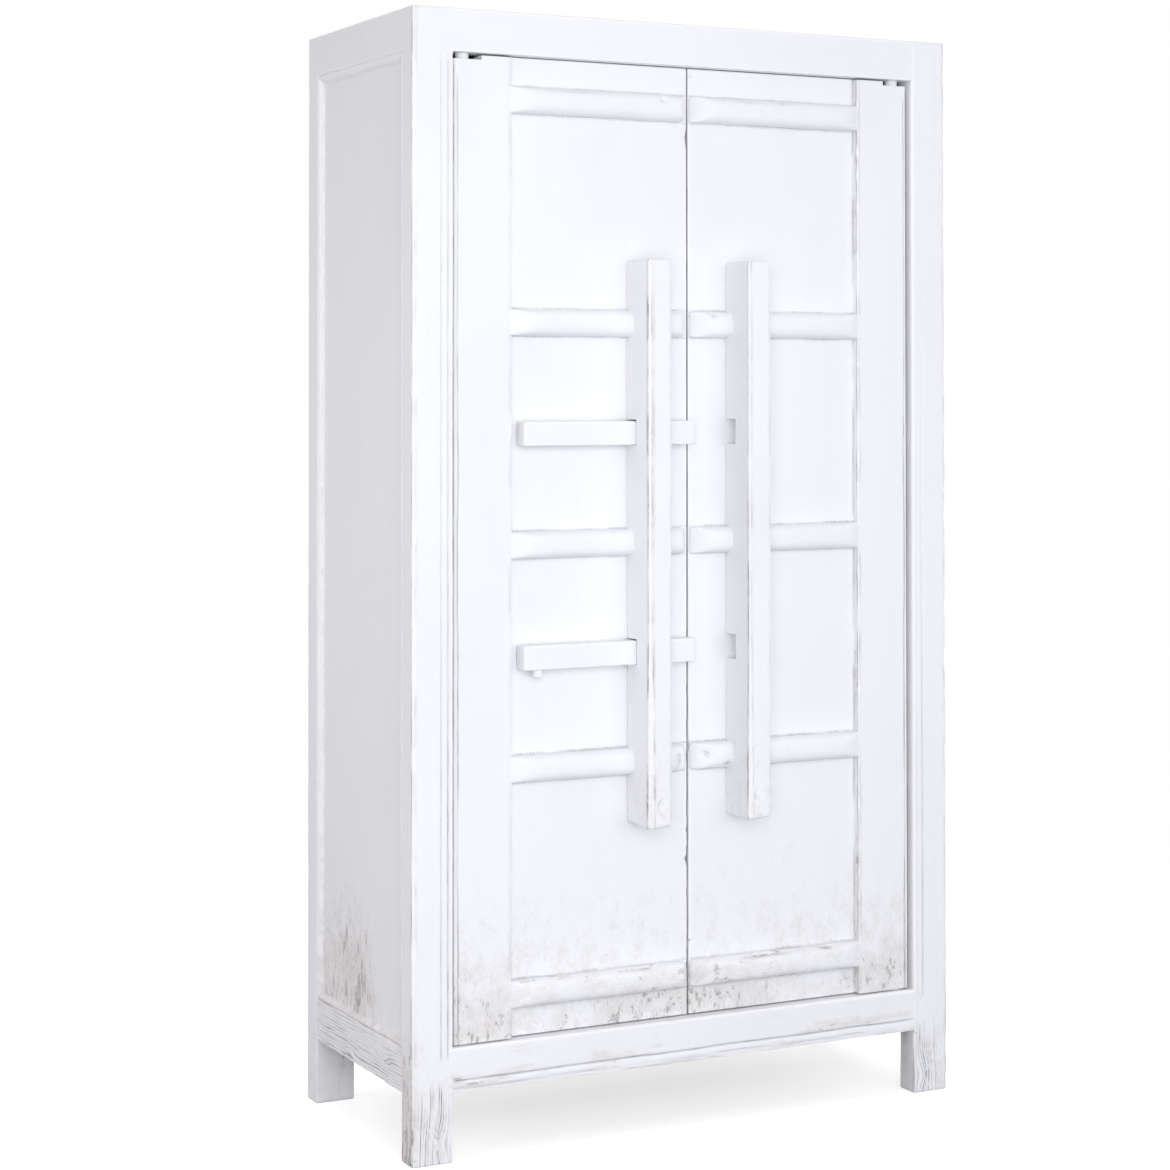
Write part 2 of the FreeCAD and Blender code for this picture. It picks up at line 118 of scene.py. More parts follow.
def noise(points, size, seed):
    """Smooth noise from -1 to 1, with lumps of the given size along X, Y and Z."""
    spot = points / np.asarray(size, float)
    cell = np.floor(spot).astype(np.int64)
    part = spot - cell
    part = part * part * (3 - 2 * part)
    total = np.zeros(points.shape[:-1])
    for dx in (0, 1):
        for dy in (0, 1):
            for dz in (0, 1):
                weight = ((part[..., 0] if dx else 1 - part[..., 0])
                          * (part[..., 1] if dy else 1 - part[..., 1])
                          * (part[..., 2] if dz else 1 - part[..., 2]))
                total += weight * hashed(cell + np.array((dx, dy, dz)), seed)
    return total * 2 - 1


LAYER_SHARE, LAYER_SHRINK, LAYER_SEED = 0.55, 2.1, 17


def cloud(points, size, seed, layers=3):
    """Layered noise from about -1 to 1."""
    size = np.asarray(size, float)
    total, weight = 0, 0
    for layer in range(layers):
        share = LAYER_SHARE ** layer
        total = total + share * noise(points, size / LAYER_SHRINK ** layer, seed + LAYER_SEED * layer)
        weight += share
    return total / weight


def ramp(value, start, end):
    """Runs smoothly from 0 at the start to 1 at the end."""
    t = np.clip((value - start) / (end - start), 0, 1)
    return t * t * (3 - 2 * t)


def bell(value, middle, width):
    """A bump of height 1."""
    return np.exp(-((value - middle) / width) ** 2)


def lifted(value):
    """Moves a value from -1 to 1 into 0 to 1."""
    return 0.5 + 0.5 * value


def stretched(axis, across, along):
    """Lump sizes that are long in the direction of the grain."""
    return [along if i == axis else across for i in range(3)]


def line_points(places, row):
    """Points on a line, for the noise along a member."""
    return np.stack([places, np.full_like(places, row), np.zeros_like(places)], -1)


def valued(entry, places, shape):
    """A value for each place, from a plain number or a function of the place."""
    return entry(places) if callable(entry) else np.full(shape, float(entry))


# Surfaces

class Surface:
    """Points, faces and a value per point for each field."""

    def __init__(self, points, faces, fields):
        self.points, self.faces, self.fields = points, faces, fields


# arris also places a painted highlight, and crease dark lines of grime and painted shade
FIELDS = ("arris", "groove", "fleck", "zone", "crease")


def joined(surfaces):
    """One surface from several."""
    faces, start = [], 0
    for surface in surfaces:
        faces += [face + start for face in surface.faces]
        start += len(surface.points)
    fields = {name: np.concatenate([s.fields[name] for s in surfaces]) for name in FIELDS}
    return Surface(np.concatenate([s.points for s in surfaces]), faces, fields)


def mirrored(surface):
    """The right-hand twin of a left-hand surface."""
    return Surface(surface.points * np.array((-1, 1, 1)), [face[:, ::-1] for face in surface.faces],
                   surface.fields)


def handed(surface, hand):
    """A left-hand surface for either hand."""
    return mirrored(surface) if hand == "right" else surface


def span(node, axis=0, ends=None):
    """The lowest and highest corner of a node at rest, or between other ends along one axis."""
    low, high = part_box(node)
    low, high = np.array(low) / MM, np.array(high) / MM
    if ends:
        low[axis], high[axis] = ends
    return low, high


def spaced(low, high, pitch):
    """Evenly spaced places from low to high."""
    return np.linspace(low, high, max(2, int(round((high - low) / pitch)) + 1))


def merged(*parts):
    """Places from several lists, in order."""
    return np.unique(np.concatenate(parts))


def graded(low, high, fine, until, coarse):
    """Places from low to high, closer together up to one place."""
    return np.unique(np.round(merged(spaced(low, until, fine), spaced(until, high, coarse)), 3))


def around(line, reach, count):
    """Places close to a line on both sides of it."""
    return line + np.linspace(-reach, reach, count)


def loft(rings, fields):
    """A closed skin over rings of points, with a point at the middle of each end."""
    count, size = rings.shape[:2]
    points = np.concatenate([rings.reshape(-1, 3), rings[:1].mean(1), rings[-1:].mean(1)])
    here = np.arange(size)
    following = (here + 1) % size
    base = (np.arange(count - 1) * size)[:, None]
    quads = np.stack([base + here, base + following, base + size + following, base + size + here], -1)
    first, last = count * size, count * size + 1
    top = (count - 1) * size
    start_fan = np.stack([np.full(size, first), following, here], -1)
    end_fan = np.stack([np.full(size, last), top + here, top + following], -1)
    full = {name: np.concatenate([fields[name].reshape(-1), fields[name][:1].mean(1),
                                  fields[name][-1:].mean(1)]) for name in FIELDS}
    return Surface(points, [quads.reshape(-1, 4), start_fan, end_fan], full)


CROSS = {0: (1, 2), 1: (2, 0), 2: (0, 1)}
SIDES = {0: ("-z", "+y", "+z", "-y"), 1: ("-x", "+z", "+x", "-z"), 2: ("-y", "+x", "+y", "-x")}
NORMALS = tuple(np.array(normal) for normal in ((0, -1), (1, 0), (0, 1), (-1, 0)))
BEVEL_STEPS = 5
END_STEPS = 4
CAP_SHARES = (0.25, 0.6, 0.88)
END_MARGIN = 1.05
FACE_MARGIN = 0.6
ARRIS_REACH = 2.2


def eased_ends(low, high, inner, end_round):
    """Places along a member with eased ends, and how far its skin is drawn in at each."""
    turns = np.linspace(0, math.pi / 2, END_STEPS + 1)[:-1]
    back, inset = end_round * (1 - np.cos(turns)), end_round * (1 - np.sin(turns))
    places = np.concatenate([low + back, inner, (high - back)[::-1]])
    return places, np.concatenate([inset, np.zeros(len(inner)), inset[::-1]])


def closed(rings, fields):
    """A member's skin, with smaller rings on its flat ends."""
    start, end = rings[0].mean(0), rings[-1].mean(0)
    first = [start + (rings[0] - start) * share for share in CAP_SHARES]
    last = [end + (rings[-1] - end) * share for share in CAP_SHARES[::-1]]
    count = len(CAP_SHARES)
    full = {}
    for name, values in fields.items():
        edge = 0.0 if name == "arris" else 1.0
        full[name] = np.concatenate([np.repeat(values[:1], count, 0) * edge, values,
                                     np.repeat(values[-1:], count, 0) * edge])
    return loft(np.concatenate([np.array(first), rings, np.array(last)]), full)


def corner_name(axis, corner):
    """The name of an arris from the two sides that meet there, such as -x-y."""
    pair = (SIDES[axis][corner - 1], SIDES[axis][corner])
    return "".join(sorted(pair, key=lambda side: side[1]))


def chosen(table, name):
    """An entry of a table or its default, or one value that holds for all."""
    return table.get(name, table["else"]) if isinstance(table, dict) else table


def bar(low, high, axis, rows, faces, arris, end_round, relief=None, bulge=1.0, trim=None, lines=None):
    """A straight member with its own bevel on each arris.

    rows gives the places or the pitch of the points along it, or (pitch, place, pitch beyond it).
    faces gives the places or the pitch on each side, and arris the width of each bevel, as a number
    or a function of the place along. bulge is 1 for a round bevel and 0 for a flat one. lines
    gives, for the bevel at an arris, how strong the dark line at its two borders is."""
    cross = list(CROSS[axis])
    lows, highs = low[cross], high[cross]
    if np.isscalar(rows):
        rows = spaced(low[axis], high[axis], rows)
    elif isinstance(rows, tuple):
        rows = graded(low[axis], high[axis], *rows)
    margin = END_MARGIN * end_round
    inner = rows[(rows > low[axis] + margin) & (rows < high[axis] - margin)]
    places, insets = eased_ends(low[axis], high[axis], inner, end_round)
    count = len(places)
    names = [corner_name(axis, corner) for corner in range(4)]
    widths = [valued(chosen(arris, name), places, count) for name in names]

    spots, ways, near, border = [], [], [], []
    for corner in range(4):
        width = widths[corner][:, None]
        before, after = NORMALS[corner - 1], NORMALS[corner]
        at = np.where(before + after < 0, lows, highs)
        middle = at - width * (before + after)
        share = chosen(bulge, names[corner])
        dark = dict(zip((0, BEVEL_STEPS - 1), (lines or {}).get(names[corner], (0, 0))))
        for step in range(BEVEL_STEPS):
            t = step / (BEVEL_STEPS - 1)
            way = before * math.cos(t * math.pi / 2) + after * math.sin(t * math.pi / 2)
            chord = before * (1 - t) + after * t
            spots.append(middle + width * (way * share + chord * (1 - share)))
            ways.append(np.broadcast_to(way, (count, 2)))
            near.append(np.ones(count))
            border.append(valued(dark.get(step, 0), places, count))
        run = corner % 2
        first, second = widths[corner], widths[(corner + 1) % 4]
        if corner >= 2:
            first, second = second, first
        start = lows[run] + first.max() + FACE_MARGIN
        end = highs[run] - second.max() - FACE_MARGIN
        wanted = chosen(faces, SIDES[axis][corner])
        if np.isscalar(wanted):
            wanted = spaced(start, end, wanted)
        wanted = [spot for spot in wanted if start <= spot <= end]
        for spot in wanted if corner < 2 else wanted[::-1]:
            row = np.tile(at, (count, 1))
            row[:, run] = spot
            reach = np.minimum(spot - lows[run] - first, highs[run] - spot - second)
            spots.append(row)
            ways.append(np.broadcast_to(after, (count, 2)))
            near.append(np.exp(-np.maximum(reach, 0) / ARRIS_REACH))
            border.append(np.zeros(count))

    flat, way, near, border = (np.stack(parts, 1) for parts in (spots, ways, near, border))
    centre, half = (lows + highs) / 2, (highs - lows) / 2
    rings, outward = np.zeros((2, *flat.shape[:2], 3))
    rings[..., cross] = centre + (flat - centre) * ((half - insets[:, None]) / half)[:, None, :]
    rings[..., axis] = places[:, None]
    outward[..., cross] = way
    fields = {name: np.zeros(near.shape) for name in FIELDS}
    fields["arris"] = np.maximum(near, (insets / end_round)[:, None])
    if relief:
        depth, found = relief(rings, outward)
        fields.update(found)
        rings = rings - outward * depth[..., None]
    if lines:
        broken = ramp(cloud(rings, stretched(axis, 30, 70), 7), -0.35, 0.3)
        fields["crease"] = np.maximum(fields["crease"], border * (0.25 + 0.75 * broken))
    if trim:
        rings = trim(rings)
    return closed(rings, fields)


# Wear

WAVER = ((0.6, 170), (0.4, 46), (0.3, 15))
SEAM_DEPTH, SEAM_WIDTH = 0.22, 2.6
NICK_REACH = 8.0


def worn(base, spread, seed, chips=0, chip_depth=3.0, chip_length=14.0, reach=(0.0, 2000.0), least=0.7):
    """The width of a worn arris as a function of the place along it.

    base is its plain width and spread how much that wavers. chips is the number of chips, which
    lie within reach."""
    draw = np.random.default_rng(seed)
    middles = draw.uniform(*reach, chips)
    lengths = draw.uniform(0.3, 1.0, chips) * chip_length
    depths = draw.uniform(0.35, 1.0, chips) * chip_depth

    def width(places):
        spots = line_points(places, seed)
        waver = sum(share * noise(spots, size, seed + i) for i, (share, size) in enumerate(WAVER))
        found = valued(base, places, places.shape) + spread * waver
        for middle, length, depth in zip(middles, lengths, depths):
            found = found + depth * np.exp(-np.abs((places - middle) / length) ** 3)
        return np.maximum(found, least)

    return width


def growth(points, axis, pith, ring, seed, bend, knots=()):
    """0 in the hard part of each growth ring of the log and 1 in the middle of its soft part.

    pith is where the middle of the log passes, in the member's two cross directions. Each knot is
    its place across and along, its size and how far it pushes the rings."""
    a, b = CROSS[axis]
    drift = np.zeros(points.shape)
    drift[..., axis] = points[..., axis]
    off_a = 9 * noise(drift, stretched(axis, 1, 420), seed)
    off_b = 6 * noise(drift, stretched(axis, 1, 330), seed + 1)
    radius = np.hypot(points[..., a] - pith[0] - off_a, points[..., b] - pith[1] - off_b)
    radius = radius + bend * cloud(points, stretched(axis, 26, 120), seed + 2, 2)
    for across, along, size, push in knots:
        off = ((points[..., a] - across) / size) ** 2 + ((points[..., axis] - along) / (2.4 * size)) ** 2
        radius = radius + push * np.exp(-off)
    turn = radius / ring
    soft = (0.5 - 0.5 * np.cos(2 * math.pi * turn)) ** 2
    ring_points = np.stack([np.floor(turn) * 7.3, points[..., axis] / 60, np.zeros_like(turn)], -1)
    return soft * (0.55 + 0.45 * noise(ring_points, 1, seed + 3))


def wood_relief(axis, seed, pith, knots, ring=5.0, brush=0.2, brush_depth=0.6, bend=2.0, wave=0.3,
                wave_size=(110, 320), zone=0.0, fleck_size=(8, 34), fleck_depth=0.5, shape=None,
                nicks=(), shade=1.15):
    """How far the worn surface lies below the planed one, and the fields that colour it.

    ring is the pitch of the growth rings and bend how far they wander. brush says where the soft
    wood is brushed out, wave how uneven the face is, zone where the paint is worn, and shape adds
    a moulding. Each nick is its place, its half sizes and its depth."""

    def relief(points, outward):
        brushed, worn_zone = (valued(entry, points, points.shape[:-1]) for entry in (brush, zone))
        soft = growth(points, axis, pith, ring, seed, bend, knots)
        depth = wave * lifted(cloud(points, stretched(axis, *wave_size), seed + 5, 2))
        depth = depth + brushed * brush_depth * soft
        grit = 0.5 + 0.62 * cloud(points, stretched(axis, *fleck_size), seed + 9)
        least = 1.0 - (0.40 + 0.16 * cloud(points, stretched(axis, 60, 45), seed + 13, 2)) * worn_zone
        fleck = ramp(grit, least, least + 0.11)
        depth = depth + fleck * fleck_depth
        fleck = 0.85 * fleck
        crease = shade * ramp(brushed, 0.35, 0.8) * soft ** 2
        if shape:
            extra, dark = shape(points, outward)
            depth, crease = depth + extra, np.maximum(crease, dark)
        for centre, size, deep in nicks:
            far = ((points - np.array(centre)) / np.array(size)) ** 2
            hit = np.exp(-far.sum(-1))
            depth = depth + deep * hit
            fleck = np.maximum(fleck, min(1.2, 0.5 * deep) * hit)
        return depth, {"groove": np.clip(brushed * soft, 0, 1), "fleck": fleck, "zone": worn_zone,
                       "crease": crease}

    return relief


def timber(low, high, axis, rows, faces, arris, seed, pith, end_round=1.0, bulge=1.0, trim=None,
           lines=None, knots=(), **wear):
    """A worn member. The pith of its log and its knots are measured from its low corner."""
    a, b = CROSS[axis]
    knots = [(low[a] + across, low[axis] + along, size, push) for across, along, size, push in knots]
    relief = wood_relief(axis, seed, (low[a] + pith[0], low[b] + pith[1]), knots, **wear)
    return bar(low, high, axis, rows, faces, arris, end_round, relief, bulge, trim, lines)


def front_nicks(face, rows):
    """Nicks in a front face, each row being X, Z, the half sizes along them and the depth."""
    return [((x, face, z), (wide, NICK_REACH, tall), deep) for x, z, wide, tall, deep in rows]


def rod(start, length, axis, diameter, end_round=1.2, pitch=12.0, sides=40):
    """A round rod with eased ends."""
    a, b = CROSS[axis]
    inner = start[axis] + spaced(end_round * 1.1, length - end_round * 1.1, pitch)
    places, insets = eased_ends(start[axis], start[axis] + length, inner, end_round)
    radii = (diameter / 2 - insets)[:, None]
    angle = np.linspace(0, 2 * math.pi, sides, endpoint=False)
    rings = np.zeros((len(places), sides, 3))
    rings[..., a] = start[a] + radii * np.cos(angle)
    rings[..., b] = start[b] + radii * np.sin(angle)
    rings[..., axis] = places[:, None]
    fields = {name: np.zeros(rings.shape[:2]) for name in FIELDS}
    fields["arris"][:END_STEPS] = 1
    fields["arris"][-END_STEPS:] = 1
    return closed(rings, fields)


# Materials

BUMP_DISTANCE = 0.0006


class Nodes:
    """A node tree under construction."""

    def __init__(self, tree):
        self.tree = tree
        tree.nodes.clear()

    def node(self, kind, inputs, **settings):
        """A new node with its inputs linked or set."""
        made = self.tree.nodes.new(kind)
        for name, value in settings.items():
            setattr(made, name, value)
        for key, value in inputs.items():
            self.feed(made.inputs[key], value)
        return made

    def feed(self, socket, value):
        """Links a socket or sets a plain value."""
        if isinstance(value, bpy.types.NodeSocket):
            self.tree.links.new(value, socket)
        elif socket.type == "RGBA":
            socket.default_value = (*value, 1)
        else:
            socket.default_value = value

    def math(self, operation, first, second):
        return self.node("ShaderNodeMath", {0: first, 1: second}, operation=operation).outputs[0]

    def times(self, first, second):
        return self.math("MULTIPLY", first, second)

    def seen(self):
        """1 for a ray that may see the backdrop and 0 for one that gathers light."""
        path = self.node("ShaderNodeLightPath", {}).outputs
        rays = self.math("MAXIMUM", path["Is Camera Ray"], path["Is Glossy Ray"])
        return self.math("MAXIMUM", rays, path["Is Transmission Ray"])

    def blend(self, share, first, second):
        """A mix of two shaders."""
        return self.node("ShaderNodeMixShader", {0: share, 1: first, 2: second}).outputs[0]


class Shader(Nodes):
    """The nodes of one material."""

    def __init__(self, name):
        self.material = bpy.data.materials.new(name)
        self.material.use_nodes = True
        super().__init__(self.material.node_tree)
        self.place = self.node("ShaderNodeTexCoord", {}).outputs["Object"]

    def noise(self, size, detail=4.0, rough=0.62):
        """Noise from 0 to 1 with lumps of the given size, in metres, along X, Y and Z."""
        scaled = self.node("ShaderNodeVectorMath", {0: self.place, 1: [1 / s for s in size]},
                           operation="MULTIPLY")
        made = self.node("ShaderNodeTexNoise", {"Vector": scaled.outputs[0], "Scale": 1,
                                                "Detail": detail, "Roughness": rough})
        return made.outputs["Fac"]

    def field(self, name):
        """A value that the points of the piece carry."""
        return self.node("ShaderNodeAttribute", {}, attribute_name=name).outputs["Fac"]

    def weighted(self, *parts):
        """The sum of values, each times its weight."""
        total = None
        for value, weight in parts:
            part = self.times(value, weight)
            total = part if total is None else self.math("ADD", total, part)
        return total

    def ramp(self, value, start, end, low=0.0, high=1.0):
        """Runs smoothly from low at the start to high at the end."""
        made = self.node("ShaderNodeMapRange", {"Value": value, "From Min": start, "From Max": end,
                                                "To Min": low, "To Max": high},
                         interpolation_type="SMOOTHSTEP")
        return made.outputs["Result"]

    def mix(self, share, first, second):
        """A mix of two colours."""
        return self.node("ShaderNodeMix", {0: share, 6: first, 7: second}, data_type="RGBA").outputs[2]

    def finish(self, colour, roughness, height, bump_strength, specular):
        """The finished material."""
        bump = self.node("ShaderNodeBump", {"Strength": bump_strength, "Distance": BUMP_DISTANCE,
                                            "Height": height})
        surface = self.node("ShaderNodeBsdfPrincipled",
                            {"Base Color": colour, "Roughness": roughness,
                             "Specular IOR Level": specular, "Normal": bump.outputs["Normal"]})
        self.node("ShaderNodeOutputMaterial", {"Surface": surface.outputs["BSDF"]})
        return self.material


def painted_wood(name, axis):
    """Old white paint, rubbed and stained where it is handled or kicked, with grime in the hollows, a
    painted highlight on the arrises and dark crease lines of grime and painted shade.
    """
    s = Shader(name)
    patches = s.noise((0.28, 0.28, 0.34), 3.0, 0.55)
    streaks = s.noise(stretched(axis, 0.011, 0.34), 4.0, 0.6)
    fine = s.noise(stretched(axis, 0.0022, 0.045))
    marks = s.noise(stretched(axis, 0.0034, 0.0085))
    stains = s.noise(stretched(axis, 0.026, 0.038), 4.0, 0.6)
    runs = s.noise(stretched(axis, 0.005, 0.05))
    arris, groove, fleck, zone, crease = (s.field(field) for field in FIELDS)

    tone = s.weighted((s.ramp(patches, 0.42, 0.72), 0.45), (s.ramp(streaks, 0.54, 0.80), 0.25))
    colour = s.mix(tone, PAINT, PAINT_DULL)
    # A painted highlight, partly chalky paint, on the arrises, the bead tops and the batten ends
    colour = s.mix(s.times(s.ramp(arris, 0.25, 0.9), 0.7), colour, CHALK_AND_PAINTED_HIGHLIGHT)
    cover = s.weighted((stains, 0.6), (marks, 0.4), (zone, 0.31))
    chip = s.weighted((marks, 0.62), (stains, 0.42), (zone, 0.215), (fleck, 0.32))
    edge = s.weighted((runs, 0.8), (arris, 0.25), (zone, 0.04))
    for value, start, end, most, tint in ((cover, 0.60, 0.88, 0.78, STAIN),
                                          (chip, 0.77, 0.96, 0.62, PRIMER),
                                          (chip, 0.92, 1.08, 0.70, FLAKE),
                                          (edge, 0.76, 0.90, 0.42, DUST)):
        colour = s.mix(s.ramp(value, start, end, 0, most), colour, tint)
    hollow = s.times(s.ramp(groove, 0.12, 0.8), s.ramp(fine, 0.3, 0.62, 0.45, 1.0))
    colour = s.mix(s.times(hollow, 0.45), colour, PRIMER)
    # Dark crease lines: grime, with painted shade in grooves, gaps, steps and contact lines
    line = s.times(crease, s.ramp(fine, 0.38, 0.66, 0.4, 1.0))
    colour = s.mix(s.times(line, 0.9), colour, GRIME_AND_PAINTED_SHADE)
    height = s.weighted((fine, 0.7), (streaks, 0.3), (s.ramp(chip, 0.77, 0.9), -0.6))
    return s.finish(colour, s.ramp(streaks, 0.3, 0.7, 0.46, 0.62), height, 0.2, 0.35)


def washed_wood(name, axis):
    """Bare boards under a thin white wash, for the inside and the back."""
    s = Shader(name)
    rings = s.noise(stretched(axis, 0.007, 0.30), 5.0)
    fine = s.noise(stretched(axis, 0.0016, 0.06), 4.0, 0.6)
    patches = s.noise((0.22, 0.22, 0.22), 3.0, 0.55)
    colour = s.mix(s.ramp(rings, 0.38, 0.66), WOOD, WOOD_DARK)
    cover = s.weighted((patches, 0.5), (fine, 0.7))
    colour = s.mix(s.ramp(cover, 0.36, 0.74, 0.55, 0.92), colour, WASH)
    colour = s.mix(s.times(s.field("arris"), 0.25), colour, WOOD)
    return s.finish(colour, 0.72, s.weighted((fine, 0.6), (rings, 0.6)), 0.3, 0.25)


PAINTED = [painted_wood("white_paint_" + letter, axis) for axis, letter in enumerate("xyz")]
WASHED = [washed_wood("washed_wood_" + letter, axis) for axis, letter in enumerate("xyz")]
LOOKS = {"case_paint": PAINTED, "door_paint": PAINTED, "bolt_paint": PAINTED, "inner_wood": WASHED}


# Making pieces

SHARP_ANGLE = math.radians(38)
HANDS = ("left", "right")


def mesh_of(name, surface):
    """A mesh from a surface."""
    mesh = bpy.data.meshes.new(name)
    faces = [row for group in surface.faces for row in group.tolist()]
    mesh.from_pydata((surface.points * MM).tolist(), [], faces)
    return mesh


def added(name, data):
    """A new object in the scene."""
    item = bpy.data.objects.new(name, data)
    bpy.context.scene.collection.objects.link(item)
    return item


def smoothed(mesh):
    """Shades a mesh smoothly, apart from its sharp edges."""
    mesh.shade_smooth()
    mesh.set_sharp_from_angle(angle=SHARP_ANGLE)


def show(name, surface, axis, body, nodes, slot):
    """Makes a piece with its grain along an axis, and lets it stand for its nodes."""
    mesh = mesh_of(name, surface)
    for field in FIELDS:
        layer = mesh.attributes.new(field, "FLOAT", "POINT")
        layer.data.foreach_set("value", surface.fields[field].astype(np.float32))
    smoothed(mesh)
    piece = added(name, mesh)
    mesh.materials.append(LOOKS[slot][axis])
    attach(piece, body)
    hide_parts(*nodes)
    return piece


def place(node, surface, axis, hand="left", body="case", slot="case_paint"):
    """Shows a surface as the worn piece for a node, or for its right-hand twin."""
    name = node.replace("left", hand)
    return show("worn_" + name, handed(surface, hand), axis, body, [name], slot)


def carve(piece, cutters, hand):
    """Cuts closed left-hand surfaces, or their twins, out of a piece."""
    tools = []
    for number, surface in enumerate(cutters):
        tool = added("cutter_%d" % number, mesh_of("cutter", handed(surface, hand)))
        cut = piece.modifiers.new("cut", "BOOLEAN")
        cut.operation, cut.object, cut.solver = "DIFFERENCE", tool, "EXACT"
        tools.append(tool)
    seen = piece.evaluated_get(bpy.context.evaluated_depsgraph_get())
    carved = bpy.data.meshes.new_from_object(seen)
    piece.modifiers.clear()
    piece.data = carved
    smoothed(carved)
    for tool in tools:
        bpy.data.objects.remove(tool)


def block(low, high):
    """A plain block, used only as a cutting tool."""
    return bar(np.array(low, float), np.array(high, float), 2, 30.0, 30.0, 0.3, 0.2)


# Places of the case

POST_LOW, POST_HIGH = span("front_left_post")
REAR_LOW, REAR_HIGH = span("rear_left_post")
RAIL_HOLD = 7.0
FRONT_ENDS = (POST_HIGH[0] - RAIL_HOLD, -POST_HIGH[0] + RAIL_HOLD)
SIDE_ENDS = (POST_HIGH[1] - RAIL_HOLD, REAR_LOW[1] + RAIL_HOLD)
SILL_LOW, SILL_HIGH = span("bottom_front_rail", 0, FRONT_ENDS)
HEAD_LOW, HEAD_HIGH = span("top_front_rail", 0, FRONT_ENDS)
FRONT_CHIPS, SIDE_CHIPS = (-480, 480), (-180, 240)

BEAD_WIDTH, BEAD_LINE, BEAD_INNER = 20.0, 3.0, 8.8
BEAD_STARTS = (SILL_HIGH[2] - 28, SILL_HIGH[2] - 6)
BEAD_STOPS = (HEAD_LOW[2] - 28, HEAD_LOW[2] + 8)
BEAD_GROOVE = POST_HIGH[0] - BEAD_WIDTH - BEAD_LINE / 2
BEAD_STEP = POST_HIGH[0] - BEAD_INNER
SILL_GROOVE = SILL_LOW[2] + BEAD_WIDTH + BEAD_LINE / 2
SILL_LINE = SILL_LOW[2] + 9.5
LEG_TOP = SILL_LOW[2]
FACE_START, FACE_FULL = 0.8, 0.95

# Heights between which the wear, the bead lines' darkening and the beads' painted highlight fade, the first
# being where there is none
FRONT_FOOT_WEAR, FRONT_LEG_WEAR = (300, 60), (700, 200)
REAR_FOOT_WEAR, REAR_FOOT_BRUSH = (320, 60), (200, 60)
BEAD_FADE, BEAD_LINE_DARKENING = (700, 1500), (1300, 300)
BEAD_PAINTED_HIGHLIGHT, BEAD_FOOT_WEAR = (1500, 1850), (480, 215)
PANEL_WEAR_TOP, PANEL_WEAR_FADE = 500, 260
HEAD_NICKS = [(338, HEAD_LOW[2] + 9, 40, 3.2, 1.4), (384, HEAD_LOW[2] + 19, 20, 3.0, 1.2),
              (-180, HEAD_LOW[2] + 44, 50, 3.2, 0.4), (-300, HEAD_LOW[2] + 12, 34, 3.0, 0.4)]


def facing(outward, start=FACE_START):
    """1 where the skin faces the front and 0 where it turns away."""
    return ramp(-outward[..., 1], start, FACE_FULL)


def post_bead(inner_line, fade):
    """The run line, the rounded bead beside the opening and the small fillet inside it."""

    def shape(points, outward):
        x, z = points[..., 0], points[..., 2]
        run = ramp(z, *BEAD_STARTS) * (1 - ramp(z, *BEAD_STOPS))
        run = run * (0.78 + 0.3 * cloud(points, (9, 9, 130), 411, 2)) * (1 - fade * ramp(z, *BEAD_FADE))
        run = run * facing(outward)
        u = np.clip((x - BEAD_GROOVE) / (BEAD_STEP - BEAD_GROOVE), 0, 1)
        roll = (2 * u - 1) ** 2 * ramp(x, BEAD_GROOVE - 0.5, BEAD_GROOVE + 0.5)
        fall = 0.9 * ramp(x, BEAD_STEP - 0.6, BEAD_STEP + 0.6)
        depth = 2.9 * bell(x, BEAD_GROOVE, 1.5) + np.where(x < BEAD_STEP, roll, fall)
        depth = depth + 1.5 * bell(x, BEAD_STEP, 1.0)
        # Painted shade in the run line and at the step, darker towards the floor
        shade = 0.45 * bell(x, BEAD_GROOVE, 1.6) + inner_line * bell(x, BEAD_STEP, 1.7)
        return depth * run, shade * (0.6 + 0.6 * ramp(z, *BEAD_LINE_DARKENING)) * run

    return shape


